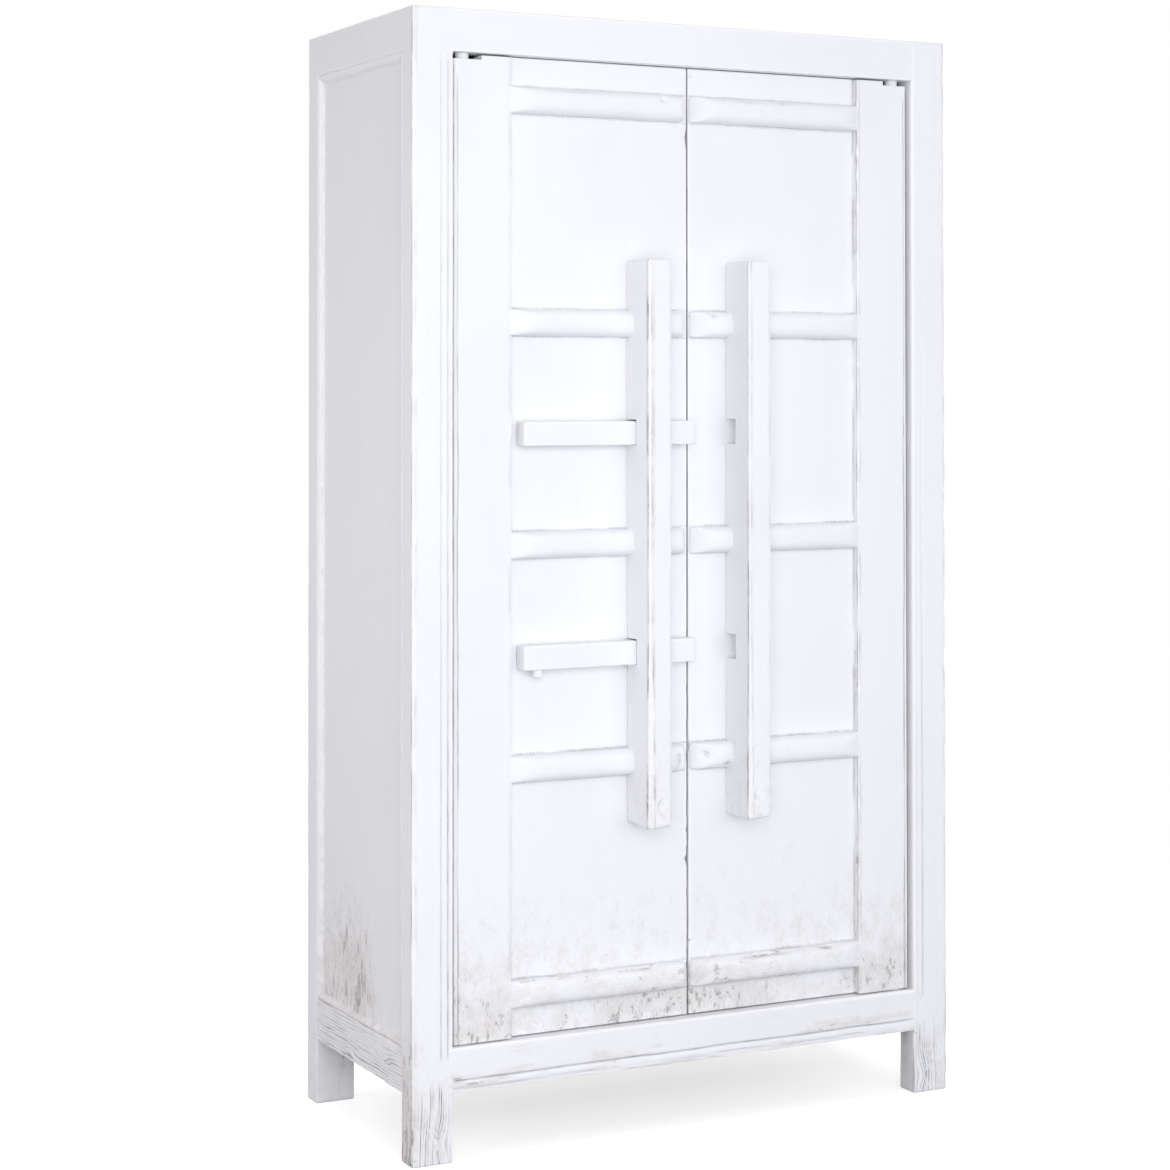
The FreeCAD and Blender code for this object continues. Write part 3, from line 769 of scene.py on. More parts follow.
def front_post(hand):
    """A front post that runs down to the floor as a leg."""
    low, high = POST_LOW, POST_HIGH
    seed, corner_width, bead_looks = {"left": (11, 1.4, (0.85, 0.0)), "right": (31, 5.0, (0.2, 0.8))}[hand]
    fronts = merged(spaced(low[0] + 8, BEAD_GROOVE - 4, 1.35), around(BEAD_GROOVE, 3, 9),
                    spaced(BEAD_GROOVE + 4.5, BEAD_STEP - 3.4, 1.7), around(BEAD_STEP, 2.4, 7),
                    [high[0] - 3.2])

    def inner(places):
        opening = (ramp(places, SILL_HIGH[2] - 8, SILL_HIGH[2] + 4)
                   * ramp(places, HEAD_LOW[2] + 6, HEAD_LOW[2] - 6))
        return 0.2 + corner_width * (opening + ramp(places, LEG_TOP + 2, LEG_TOP - 6))

    def brush(points):
        leg = 1 - ramp(points[..., 2], LEG_TOP - 26, LEG_TOP + 60)
        across = 0.72 + 0.28 * ramp(points[..., 0], low[0] + 10, low[0] + 36)
        return np.clip(0.07 + leg * across * (0.75 + 0.3 * noise(points, (30, 30, 60), seed)), 0, 1)

    def zone(points):
        foot, leg = (ramp(points[..., 2], *fade) for fade in (FRONT_FOOT_WEAR, FRONT_LEG_WEAR))
        side = ramp(points[..., 0], low[0] + 4, low[0] + 1)
        return (0.45 + 0.4 * side) * foot + (0.12 + 0.2 * side) * leg

    faces = {"-y": fronts, "-x": 1.7, "+x": 5.0, "else": 12.0}
    arris = {"-x-y": worn(3.6, 1.6, seed + 1, chips=26, chip_depth=2.6, chip_length=22),
             "+x-y": worn(inner, 0.4, seed + 2, least=0.2), "else": worn(1.5, 0.5, seed + 3)}
    return timber(low, high, 2, (3.0, 260, 8.0), faces, arris, seed, (-60, 34), end_round=2.4,
                  bulge={"-x-y": 0.3, "else": 1.0}, lines={"-x-y": (0.9, 0.4)},
                  knots=((54, 34, 12, 10), (30, 96, 16, -3)), ring=4.6, brush=brush, brush_depth=3.4,
                  bend=2.2, zone=zone, shape=post_bead(*bead_looks), shade=1.7, fleck_size=(5, 26),
                  fleck_depth=0.45)


def rear_post(hand):
    """A rear post and leg."""
    seed = 61 if hand == "right" else 51
    arris = worn(1.9, 0.8, seed, chips=20, chip_depth=1.8, chip_length=14)
    return timber(REAR_LOW, REAR_HIGH, 2, (5.0, 220, 12.0), {"-x": 3.0, "-y": 5.0, "else": 12.0}, arris,
                  seed, (10, 150), end_round=2.6, ring=4.6, bend=2.2,
                  brush=lambda p: 0.07 + 0.35 * ramp(p[..., 2], *REAR_FOOT_BRUSH), brush_depth=0.9,
                  zone=lambda p: 0.45 * ramp(p[..., 2], *REAR_FOOT_WEAR), fleck_size=(6, 30))


def head_rail():
    """The top rail of the front."""
    arris = {"-y+z": worn(2.2, 0.8, 72, 26, 2.0, 16, FRONT_CHIPS),
             "-y-z": worn(1.3, 0.4, 73, 16, 1.2, 12, FRONT_CHIPS), "else": 1.2}
    return timber(HEAD_LOW, HEAD_HIGH, 0, 8.0, {"-y": 3.2, "-z": 6.0, "else": 10.0}, arris, 71,
                  (-10, -160), brush=0.10, brush_depth=0.8, bend=2.4, wave=0.35,
                  nicks=front_nicks(HEAD_LOW[1], HEAD_NICKS))


def sill_moulding(points, outward):
    """A roll along the lower edge of the sill below a run line, and a broken line on the roll."""
    base = SILL_LOW[2]
    z = points[..., 2] + 0.9 * noise(points, 70, 91)
    u = np.clip((z - base) / (SILL_GROOVE - base), 0, 1)
    roll = 1.5 * (2 * u - 1) ** 2 * (1 - ramp(z, SILL_GROOVE - 0.5, SILL_GROOVE + 0.5))
    broken = ramp(cloud(points, 90, 92, 2), -0.25, 0.25)
    depth = 3.0 * bell(z, SILL_GROOVE, 1.7) + roll + bell(z, SILL_LINE, 1.1) * broken
    # Painted shade in the run line and along the broken line
    shade = 0.75 * bell(z, SILL_GROOVE, 1.2) + 0.6 * bell(z, SILL_LINE, 1.0) * broken
    free = facing(outward, 0.75) * ramp(np.abs(points[..., 0]), -POST_HIGH[0] - 2, -POST_HIGH[0] - 8)
    return depth * free, shade * free


def sill_rail():
    """The bottom rail of the front, with its moulded lower edge."""
    fronts = merged(spaced(SILL_LOW[2] + 4, SILL_GROOVE - 4, 1.5), around(SILL_GROOVE, 3, 9),
                    spaced(SILL_GROOVE + 4.4, SILL_HIGH[2] - 3, 2.2))

    def brush(points):
        foot = ramp(points[..., 2], SILL_GROOVE + 34, SILL_GROOVE - 4)
        return 0.06 + (0.25 + 0.6 * foot) * ramp(cloud(points, (170, 40, 16), 93, 2), 0.0, 0.4)

    def zone(points):
        smear = ramp(cloud(points, (150, 40, 11), 97), -0.1, 0.3)
        return 0.08 + smear * (0.35 + 0.6 * ramp(points[..., 2], SILL_GROOVE + 30, SILL_GROOVE - 4))

    arris = {"-y-z": worn(3.0, 1.0, 95, 20, 2.2, 20, FRONT_CHIPS),
             "-y+z": worn(3.4, 0.6, 96, 14, 1.5, 16, FRONT_CHIPS), "else": 1.2}
    return timber(SILL_LOW, SILL_HIGH, 0, 6.0, {"-y": fronts, "-z": 6.0, "else": 10.0}, arris, 94,
                  (30, -60), ring=6.5, brush=brush, brush_depth=0.9, bend=3.4, wave=0.4, zone=zone,
                  fleck_size=(4, 34), shape=sill_moulding, shade=0.45)


def side_rail(node, seed, **wear):
    """The top or bottom rail of a side."""
    low, high = span(node, 1, SIDE_ENDS)
    arris = {"-x-z": worn(2.2, 1.0, seed + 1, 16, 2.2, 14, SIDE_CHIPS),
             "-x+z": worn(1.6, 0.6, seed + 2, 10, 1.6, 12, SIDE_CHIPS), "else": 1.2}
    return timber(low, high, 1, 3.2, {"-x": 1.3, "-z": 5.0, "else": 9.0}, arris, seed, (-75, 30),
                  wave=0.35, fleck_size=(4, 30), fleck_depth=0.4, **wear)


def upper_side_rail(hand):
    """The top rail of a side, hardly worn."""
    seed = 121 if hand == "left" else 131
    return side_rail("top_left_rail", seed, ring=6.0, brush=0.1, brush_depth=0.7, zone=0.12)


def lower_side_rail(hand):
    """The bottom rail of a side, deeply brushed along its grain."""
    seed = 141 if hand == "left" else 151

    def brush(points):
        return 0.55 + 0.45 * ramp(cloud(points, (40, 120, 30), seed + 4, 2), -0.5, 0.3)

    return side_rail("bottom_left_rail", seed, ring=6.2, brush=brush, brush_depth=3.2, bend=6.0,
                     zone=0.5, knots=((40, 90, 13, 12), (20, 250, 11, -7)))


def seam_depth(places, low, high, count, seams):
    """Hairline hollows where boards of one width meet."""
    edges = np.linspace(low, high, count + 1)[1:-1]
    return sum(SEAM_DEPTH * bell(places, edge, SEAM_WIDTH) for edge in edges) * seams


def side_panel(hand):
    """The upright boards of a side panel, marked near the floor."""
    seed = 171 if hand == "left" else 181
    low, high = span("left_side_panel")

    def zone(points):
        y, z = points[..., 1], points[..., 2]
        top = PANEL_WEAR_TOP + 70 * bell(y, 90, 90) - 190 * ramp(y, 60, -150)
        return ramp(z, top, top - PANEL_WEAR_FADE) * (0.88 + 0.3 * noise(points, (60, 60, 90), seed))

    def seams(points, outward):
        y = points[..., 1] + 0.8 * noise(points, (50, 50, 110), seed + 6)
        flat = ramp(np.abs(outward[..., 0]), FACE_START, FACE_FULL)
        return seam_depth(y, low[1], high[1], 3, flat), np.zeros(y.shape)

    return timber(low, high, 2, (3.4, PANEL_WEAR_TOP + 80, 11.0), {"-x": 2.7, "+x": 24.0, "else": 6.0}, 0.4,
                  seed, (120, 160), end_round=0.5, ring=7.0, brush=lambda p: 0.015 + 0.3 * zone(p),
                  brush_depth=0.8, bend=3.0, zone=zone, fleck_size=(5.5, 30), fleck_depth=0.9,
                  shape=seams)


BEAD_PROFILE = ((0.0, 0.32), (0.08, 0.17), (0.20, 0.05), (0.36, 0.0), (0.52, 0.03), (0.66, 0.13),
                (0.80, 0.32), (0.92, 0.62), (1.0, 1.10), (0.5, 1.15), (0.0, 1.15))


def panel_beads(hand):
    """A mitred frame of bead in the corner between the side's frame and its panel."""
    seed = 191 if hand == "left" else 195
    low, high = span("left_panel_beads")
    size = high[0] - low[0]
    drop, sink = np.array(BEAD_PROFILE).T * size
    corners = [(low[1], low[2]), (high[1], low[2]), (high[1], high[2]), (low[1], high[2])]
    inward = [(0, 1), (-1, 0), (0, -1), (1, 0)]
    rings = []
    for side in range(4):
        start, end = np.array(corners[side]), np.array(corners[(side + 1) % 4])
        length = np.abs(end - start).sum()
        ahead, normal = (end - start) / length, np.array(inward[side])
        smeared = 0.6 if side == 2 else 0.0
        for s in spaced(0, length, 3.0)[:-1]:
            spots = np.full((1, 3), float(side * 40))
            spots[0, 1] = s
            free = min(1, s / 20, (length - s) / 20)
            wide = 1.0 + (0.42 * cloud(spots, (30, 26, 30), seed)[0] + smeared) * free
            reach = drop * np.where(drop > 0, wide, 1)
            ring = np.zeros((len(drop), 3))
            lead = reach + (length - 2 * reach) * s / length
            ring[:, 0] = low[0] + sink * np.where(drop < 0.15 * size, 1 - smeared * free, 1.0)
            ring[:, 1:] = start + ahead * lead[:, None] + normal * reach[:, None]
            rings.append(ring)
    rings = np.array(rings)
    lumps = lifted(cloud(rings, (12, 22, 22), seed))
    rings[:, 1:-3, 0] += 1.5 * lumps[:, 1:-3] ** 2
    count, width = rings.shape[:2]
    here = np.arange(width)
    following = (here + 1) % width
    base = np.arange(count)[:, None] * width
    ahead_base = ((np.arange(count) + 1) % count)[:, None] * width
    quads = np.stack([base + here, ahead_base + here, ahead_base + following, base + following], -1)
    fields = {name: np.zeros(count * width) for name in FIELDS}
    # A painted highlight on the beads, growing towards the top
    fields["arris"] = (0.15 + 0.5 * ramp(rings[..., 2], *BEAD_PAINTED_HIGHLIGHT)).reshape(-1)
    fields["zone"] = (0.95 * ramp(rings[..., 2], *BEAD_FOOT_WEAR)).reshape(-1)
    # Painted shade: a broken dark line along the beads' outer border, fading out at the top, and a darker
    # slope on the rear strip
    border = bell(here, 0, 0.6) * ramp(lumps, 0.35, 0.6)
    border = border * ramp(rings[..., 2], high[2], high[2] - 14)
    slope = ramp(here, 4.5, 7.0) * ramp(here, 9.5, 8.5)
    behind = ramp(rings[..., 1], high[1] - 2 * size, high[1] - size)
    fields["crease"] = (0.4 * border + 0.3 * slope * behind * lifted(lumps)).reshape(-1)
    return Surface(rings.reshape(-1, 3), [quads.reshape(-1, 4)], fields)


def plank_set(node, axis, count, across, rows, seed):
    """Boards laid edge to edge, across being the direction in which they follow one another."""
    low, high = span(node)
    edges = np.linspace(low[across], high[across], count + 1)
    boards = []
    for number in range(count):
        low[across], high[across] = edges[number], edges[number + 1]
        boards.append(timber(low, high, axis, rows, 9.0, worn(1.0, 0.3, seed + number),
                             seed + 5 * number, (40 + 13 * number, -70), end_round=0.8, ring=8.0,
                             brush_depth=0.5, bend=4.0, wave=0.35))
    return joined(boards)


def plain_member(node, axis, seed, pitch=8.0, rows=18.0, ends=None):
    """A simple squared member."""
    low, high = span(node, axis, ends)
    arris = worn(1.6, 0.4, seed, 6, 1.2, 12, (low[axis], high[axis]))
    return timber(low, high, axis, rows, pitch, arris, seed, (-40, 20), end_round=1.2)


def make_case():
    """Every piece of the case."""
    for hand in HANDS:
        for node, shape, axis in (("front_left_post", front_post, 2), ("rear_left_post", rear_post, 2),
                                  ("top_left_rail", upper_side_rail, 1),
                                  ("bottom_left_rail", lower_side_rail, 1),
                                  ("left_side_panel", side_panel, 2), ("left_panel_beads", panel_beads, 2)):
            place(node, shape(hand), axis, hand)
        for node, seed in (("left_floor_bearer", 201), ("left_shelf_bearer", 205)):
            place(node, plain_member(node, 1, seed), 1, hand, slot="inner_wood")
    place("top_front_rail", head_rail(), 0)
    place("bottom_front_rail", sill_rail(), 0)
    for node, seed, slot in (("top_rear_rail", 211, "case_paint"), ("bottom_rear_rail", 212, "case_paint"),
                             ("back_middle_rail", 213, "inner_wood")):
        place(node, plain_member(node, 0, seed, ends=FRONT_ENDS), 0, slot=slot)
    for node, axis, count, across, rows, seed, slot in (
            ("top_boards", 0, 4, 1, 22.0, 221, "case_paint"),
            ("floor_boards", 0, 4, 1, 22.0, 241, "inner_wood"),
            ("back_boards", 2, 7, 0, 26.0, 261, "inner_wood"),
            ("shelf", 0, 3, 1, 22.0, 281, "inner_wood")):
        place(node, plank_set(node, axis, count, across, rows, seed), axis, slot=slot)
    for node, axis, seed, pitch, rows in (("middle_floor_bearer", 1, 291, 8.0, 18.0),
                                          ("upper_door_stop", 0, 293, 6.0, 8.0),
                                          ("lower_door_stop", 0, 294, 6.0, 8.0)):
        place(node, plain_member(node, axis, seed, pitch, rows), axis, slot="inner_wood")
    low, high = span("hanging_rail")
    start = np.array((low[0], *(low + high)[1:] / 2))
    place("hanging_rail", rod(start, high[0] - low[0], 0, high[2] - low[2]), 0, slot="inner_wood")


# Places of the left door

STILE_LOW, STILE_HIGH = span("left_door_stile")
BOARDS_LOW, BOARDS_HIGH = span("left_door_boards")
BOARD_FACE = BOARDS_LOW[1]
BOARDS_LEFT = STILE_HIGH[0]
BOARD_COUNT = 3
DOOR_FOOT, DOOR_HEAD = BOARDS_LOW[2] - 5.0, BOARDS_HIGH[2]
BOARD_HEAD = DOOR_HEAD + 1.6
PIVOT = np.array(frame["joints"][0]["pos_m"][:2]) / MM
PIVOT_REACH = PIVOT[0] - STILE_LOW[0]
PIVOT_DIAMETER, PIVOT_HOLD = 24.0, 12.0
STEP_TOP, STEP_WIDTH = DOOR_HEAD - 8.0, 57.0
STILE_ROLL = 11.0
CUT_MARGIN = 5.0
BATTENS = ("bottom", "lower", "middle", "upper", "top")
BATTEN_SPANS = [span("left_door_%s_batten" % name) for name in BATTENS]
BATTEN_MIDS = [(low[2] + high[2]) / 2 for low, high in BATTEN_SPANS]
BATTEN_HALF = 25.0
BATTEN_PROUD = BOARD_FACE - BATTEN_SPANS[0][0][1]
DOOR_WEAR_TOP = 560
DOOR_WEAR, DOOR_FOOT_WEAR, STILE_FOOT_WEAR = (DOOR_WEAR_TOP, 250), (290, 215), (330, 215)


def door_zone(points):
    """Where a door's paint is worn: mostly near the floor."""
    z = points[..., 2]
    low_part = 0.80 * ramp(z, *DOOR_WEAR) + 0.24 * ramp(z, *DOOR_FOOT_WEAR)
    return low_part * (0.85 + 0.3 * noise(points, (70, 70, 80), 301))


def stile_line(points, outward):
    """The wandering line where the rounded outer edge of a stile begins, and painted shade both in that
    line and along the edge beside the gap.
    """
    z = points[..., 2]
    x = points[..., 0] + 2.2 * noise(points, 170, 311) + 0.9 * noise(points, 45, 313)
    free = facing(outward) * ramp(z, STEP_TOP - 13, STEP_TOP - 41)
    free = free * (0.55 + 0.45 * ramp(cloud(points, 120, 312, 2), -0.3, 0.3))
    # Painted shade along the outer edge, next to the gap by the post
    edge = 0.85 * ramp(points[..., 0], STILE_LOW[0] + 3.4, STILE_LOW[0] + 2.0)
    edge = edge * ramp(z, STEP_TOP - 1, STEP_TOP - 18)
    line = STILE_LOW[0] + STILE_ROLL
    return 1.4 * bell(x, line, 1.5) * free, np.maximum(edge, 0.9 * bell(x, line, 1.6) * free)


def stile(hand):
    """The outer stile of a door, rounded about its pivot."""
    seed, lines = {"left": (321, (0.35, 0.6)), "right": (331, (0.5, 1.1))}[hand]
    low, high = span("left_door_stile", 2, (DOOR_FOOT, DOOR_HEAD))

    def within_reach(points):
        off = points[..., :2] - PIVOT
        far = np.hypot(off[..., 0], off[..., 1])
        outer = (points[..., 0] < PIVOT[0]) & (far > PIVOT_REACH)
        share = np.where(outer, PIVOT_REACH / np.maximum(far, TINY), 1.0)
        moved = points.copy()
        moved[..., :2] = PIVOT + off * share[..., None]
        return moved

    def zone(points):
        side = ramp(points[..., 0], STILE_HIGH[0] - 1.5, STILE_HIGH[0] - 0.4)
        tint = 0.75 * side * ramp(cloud(points, 90, seed + 8), -0.4, 0.2)
        return np.clip(door_zone(points) + 0.12 * ramp(points[..., 2], *STILE_FOOT_WEAR) + tint, 0, 1)

    arris = {"-x-y": 7.8, "-x+y": 7.8, "+x-y": worn(2.0, 0.9, seed + 2, 30, 2.6, 14, (200, 1920)),
             "else": 1.2}
    fronts = np.concatenate([spaced(low[0] + 8.4, low[0] + 15, 1.1), spaced(low[0] + 17, high[0] - 4, 2.6)])
    body = timber(low, high, 2, (3.6, DOOR_WEAR_TOP, 9.0),
                  {"-y": fronts, "-x": 3.0, "+x": 2.4, "else": 10.0}, arris, seed, (-60, 130),
                  end_round=1.6, trim=within_reach, lines={"+x-y": lines}, ring=6.0,
                  brush=lambda p: 0.08 + 0.3 * zone(p), bend=3.0, wave=0.35, zone=zone,
                  fleck_size=(6, 12), fleck_depth=0.6, shape=stile_line)
    pivots = [rod(np.array((*PIVOT, bottom)), top - bottom, 2, PIVOT_DIAMETER)
              for bottom, top in ((STEP_TOP - PIVOT_HOLD, STILE_HIGH[2]),
                                  (STILE_LOW[2], DOOR_FOOT + PIVOT_HOLD))]
    return body, pivots


BOARD_NICKS = {
    "left": [(-2, 1795, 5, 12, 2.6), (-2, 480, 5, 8, 2.4), (-40, 214, 9, 9, 1.4)],
    "right": [(-8, 1908, 6, 9, 3.0), (-3, 330, 8, 2.6, 2.4), (-3, 268, 7, 2.6, 2.4),
              (-3, 690, 5, 14, 2.4), (-168, 230, 2.6, 16, 1.8), (-178, 218, 2.2, 9, 1.4),
              (-205, 452, 1.8, 22, 1.0)],
}
ROW_GAP = 0.45


def board_rows():
    """Places of the rows of a door's boards, closer near the floor, at the battens and at the nicks."""
    rows = [graded(DOOR_FOOT, BOARD_HEAD, 3.2, DOOR_WEAR_TOP, 10.0)]
    for middle in BATTEN_MIDS:
        for way in (-1, 1):
            rows.append(middle + way * (BATTEN_HALF + np.array((-3, -1, 0, 1, 2, 3.2, 5))))
    for nicks in BOARD_NICKS.values():
        rows += [nick[1] + np.arange(-10.0, 11.0, 2.0) for nick in nicks]
    rows = np.unique(np.round(np.concatenate(rows), 2))
    rows = rows[(rows >= DOOR_FOOT) & (rows <= BOARD_HEAD)]
    return rows[np.concatenate([[True], np.diff(rows) > ROW_GAP])]


def board_looks(points, outward):
    """The hairline seams under the paint, grime and painted shade along the stile and the battens, and
    painted shade at the meeting gap.
    """
    z, front = points[..., 2], facing(outward)
    # Grime and painted contact shade along the battens' edges
    batten_grime_and_shade = sum(weight * bell(z, middle + way * (BATTEN_HALF + 0.5), 1.6)
               for middle in BATTEN_MIDS for way, weight in ((1, 1.0), (-1, 0.7)))
    shade = 0.62 * batten_grime_and_shade * front * (0.35 + 0.65 * ramp(cloud(points, 46, 341), -0.15, 0.35))
    x = points[..., 0] + 0.8 * noise(points, (50, 50, 110), 345)
    depth = seam_depth(x, BOARDS_LOW[0], BOARDS_HIGH[0], BOARD_COUNT, front)
    # Grime and painted shade in the corner beside the stile, broken up
    broken = ramp(cloud(points, 60, 346), -0.3, 0.2)
    shade = shade + 0.75 * bell(points[..., 0], BOARDS_LEFT + 0.8, 1.9) * front * broken
    # Painted shade on the side face at the meeting gap
    shade = shade + 0.5 * ramp(outward[..., 0], FACE_START, FACE_FULL)
    ticks = ramp(noise(points, (3.4, 40, 16), 347), 0.15, 0.7)
    ticks = ticks * ramp(cloud(points, (70, 70, 300), 348, 2), -0.1, 0.3)
    ticks = ticks * (1 - ramp(z, DOOR_FOOT + 5, DOOR_FOOT + 19)) * front
    return depth + 0.5 * ticks, np.maximum(shade, 0.55 * ticks)


def door_boards(hand):
    """The boards of a door, painted over so that their seams hardly show."""
    seed = 361 if hand == "right" else 351
    low, high = span("left_door_boards", 2, (DOOR_FOOT, BOARD_HEAD))
    low[0] = BOARDS_LEFT - 6.0
    fronts = np.concatenate([BOARDS_LEFT + np.array((-4, -1.2, 0, 0.8, 1.7, 3)),
                             spaced(BOARDS_LEFT + 5.5, high[0] - 3, 2.6)])
    meeting = worn(lambda places: 1.1 + 1.3 * ramp(places, 700, 250), 0.5, seed + 7, 46, 2.0, 7, (200, 900))
    return timber(low, high, 2, board_rows(), {"-y": fronts, "+y": 20.0, "else": 6.0},
                  {"+x-y": meeting, "+x+y": 1.2, "else": 0.5}, seed, (130, 150), end_round=1.2, ring=7.5,
                  brush=lambda p: 0.015 + 0.3 * door_zone(p), bend=3.5, zone=door_zone,
                  fleck_size=(6, 10), fleck_depth=0.6, shape=board_looks,
                  nicks=front_nicks(BOARD_FACE, BOARD_NICKS[hand]))


# Battens: how far each end runs, and the length, rise and power of its eased nose

BATTEN_ENDS = {"left": -13.0, "right": -3.0}
BATTEN_NOSES = {"left": (24.0, 5.0, 2.0), "right": (44.0, 2.6, 1.25)}
BATTEN_POWER = 2.7
BATTEN_TAPER, BATTEN_LIP, BATTEN_SPARE = 64.0, 0.6, 3.0
BATTEN_TUCK, BATTEN_TIP, BATTEN_BLEND = 7.0, 22.0, 7.0
BATTEN_NARROWED, BATTEN_NARROWING = 0.84, 13.0
BATTEN_STEPS = 33
BATTEN_END_BACK, BATTEN_END_DROP = (0.8, 0.25, 0.0), (0.15, 0.8, 2.2)


def blended(first, second, reach):
    """The lesser of two values, with a soft change from one to the other."""
    share = np.clip(0.5 + 0.5 * (second - first) / reach, 0, 1)
    return second * (1 - share) + first * share - reach * share * (1 - share)


def batten_crest(x, hand, seed):
    """How far the batten stands proud of the boards at each place along it."""
    stile_rise = BOARD_FACE - STILE_LOW[1] + BATTEN_LIP
    full = BATTEN_PROUD + BATTEN_SPARE
    start = np.clip((x - BOARDS_LEFT) / BATTEN_TAPER, 0, 1)
    taper = stile_rise + (full - stile_rise) * (1 - (1 - start) ** 2)
    length, rise, power = BATTEN_NOSES[hand]
    end = np.clip((BATTEN_ENDS[hand] - x) / length, 0, 1)
    nose = rise + (full - rise) * (1 - (1 - end) ** power) ** (1 / power)
    return np.minimum(taper, nose) - 0.8 * lifted(noise(line_points(x, seed), 60, seed))


def batten(hand, number, nicks):
    """A half-round batten, run down to the stile at one end and eased at the other."""
    seed = (421 if hand == "right" else 401) + 3 * number
    middle = BATTEN_MIDS[number]
    left, right = BOARDS_LEFT, BATTEN_ENDS[hand]
    x = np.concatenate([spaced(left - BATTEN_TUCK, right - BATTEN_TIP - 2, 3.2),
                        spaced(right - BATTEN_TIP, right - 1.5, 1.7), right - np.array(BATTEN_END_BACK)])
    angle = np.linspace(-math.pi / 2, math.pi / 2, BATTEN_STEPS)
    front = np.abs(np.cos(angle)) ** (2 / BATTEN_POWER)
    rise = np.sign(np.sin(angle)) * np.abs(np.sin(angle)) ** (2 / BATTEN_POWER)
    upper, lower = (BATTEN_HALF - 0.9 * lifted(noise(line_points(x, 3.0), 75, seed + i)) for i in (1, 2))
    end = np.zeros_like(x)
    end[-len(BATTEN_END_DROP):] = BATTEN_END_DROP
    rings = np.zeros((len(x), len(angle) + 1, 3))
    rings[..., 0] = x[:, None]
    nearing = 1 - np.clip((right - x) / BATTEN_NARROWING, 0, 1)
    drawn_in = BATTEN_NARROWED + (1 - BATTEN_NARROWED) * np.sqrt(1 - nearing ** 2)
    half = np.where(rise > 0, upper[:, None], lower[:, None]) * drawn_in[:, None] - end[:, None]
    rings[:, :-1, 2] = middle + rise * half
    full = (BATTEN_PROUD - end)[:, None] * front
    crest = (batten_crest(x, hand, seed) - end)[:, None]
    rings[:, :-1, 1] = BOARD_FACE - np.maximum(blended(full, crest, BATTEN_BLEND), 0)
    rings[:, (0, -2), 1] += 3.0
    rings[:, -1, 1:] = (BOARD_FACE + 4.0, middle)
    lumps = cloud(rings, (90, 30, 30), seed + 4)
    grain = growth(rings, 0, (BOARD_FACE + 20, middle - 70), 5.5, seed, 2.0)
    depth = 0.5 * lifted(lumps) + 0.16 * grain
    fleck = np.zeros(depth.shape)
    for spot, size, deep in nicks:
        far = ((rings - np.array((spot[0], BOARD_FACE - spot[1], middle + spot[2]))) / np.array(size)) ** 2
        hit = np.exp(-far.sum(-1) ** 1.5)
        depth = depth + deep * hit
        fleck = np.maximum(fleck, 1.1 * hit)
    toward = (rings - np.array((0, BOARD_FACE, middle))) * np.array((0, 1, 1))
    size = np.linalg.norm(toward, axis=-1)
    shrink = np.clip(depth / np.maximum(size, TINY), 0, 0.9)
    shrink[:, (0, -2, -1)] = 0
    rings = (rings - toward * shrink[..., None])[:, ::-1]
    # Where the top shoulder is rubbed: worn paint, a painted highlight and stronger painted contact shade
    top_rub_and_painted_light = ramp(cloud(rings, (55, 1000, 1000), seed + 6, 2), -0.1, 0.45)
    zone = door_zone(rings) * 0.7 + 0.12
    shoulder, contact_shade = (np.concatenate([values, [0.0]])[::-1]
                         for values in (np.abs(rise) ** 6, bell(np.abs(rise), 1.0, 0.012)))
    # Painted shade: a dark line at the nose end of the left door's battens
    outline = 0.9 * bell(x, right, 2.2)[:, None] if hand == "left" else 0
    least = 1.0 - 0.42 * zone - 0.3 * shoulder * top_rub_and_painted_light
    marked = ramp(0.5 + 0.62 * cloud(rings, (20, 6, 6), seed + 8), least, least + 0.1)
    # arris gives a painted highlight on the rubbed shoulders and the nose end; crease gives painted contact
    # shade, partly grime, where the batten meets the boards
    surface = loft(rings, {
        "arris": np.clip(0.25 * shoulder * top_rub_and_painted_light + np.where(end > 0, 0.9, 0)[:, None], 0, 1),
        "groove": 0.25 * grain[:, ::-1],
        "fleck": np.maximum(marked, fleck[:, ::-1]),
        "zone": zone,
        "crease": np.maximum(0.65 * contact_shade * (0.35 + 0.65 * top_rub_and_painted_light), outline)})
    surface.faces = [face[:, ::-1] for face in surface.faces]
    return surface


# Nicks of the battens: X, how far in front of the boards, Z from the middle, then half sizes and depth

BATTEN_NICKS = {
    ("left", 4): [((-62, 30, 14), (7, 9, 8), 5.0), ((-230, 26, 22), (60, 8, 5), 1.6)],
    ("left", 3): [((-14, 24, -4), (5, 14, 16), 4.0)],
    ("left", 2): [((-16, 24, 8), (6, 12, 14), 3.0)],
    ("left", 1): [((-30, 28, -2), (9, 10, 22), 5.0), ((-14, 20, 10), (6, 10, 10), 4.0)],
    ("left", 0): [((-26, 26, 12), (14, 10, 9), 4.0), ((-120, 20, 24), (50, 8, 6), 2.5)],
    ("right", 4): [((-120, 26, 22), (26, 8, 6), 2.5), ((-190, 26, 22), (14, 8, 6), 3.0)],
    ("right", 3): [((-44, 22, 19), (7, 11, 7), 6.0)],
    ("right", 1): [((-24, 26, 6), (14, 12, 14), 5.0), ((-70, 26, -16), (16, 10, 8), 3.0)],
    ("right", 0): [((-46, 26, 4), (8, 10, 22), 4.0), ((-150, 20, 24), (60, 8, 7), 4.0),
                   ((-290, 20, 24), (24, 8, 6), 3.0)],
}

PULL_LOW, PULL_HIGH = span("left_pull_post")
UPPER_BOLT, LOWER_BOLT = span("upper_bolt"), span("lower_bolt")
NOTCH_SIDE, NOTCH_TOP, NOTCH_SEAT = 2.0, 2.5, 0.4
PEG_SHORT = 1.0


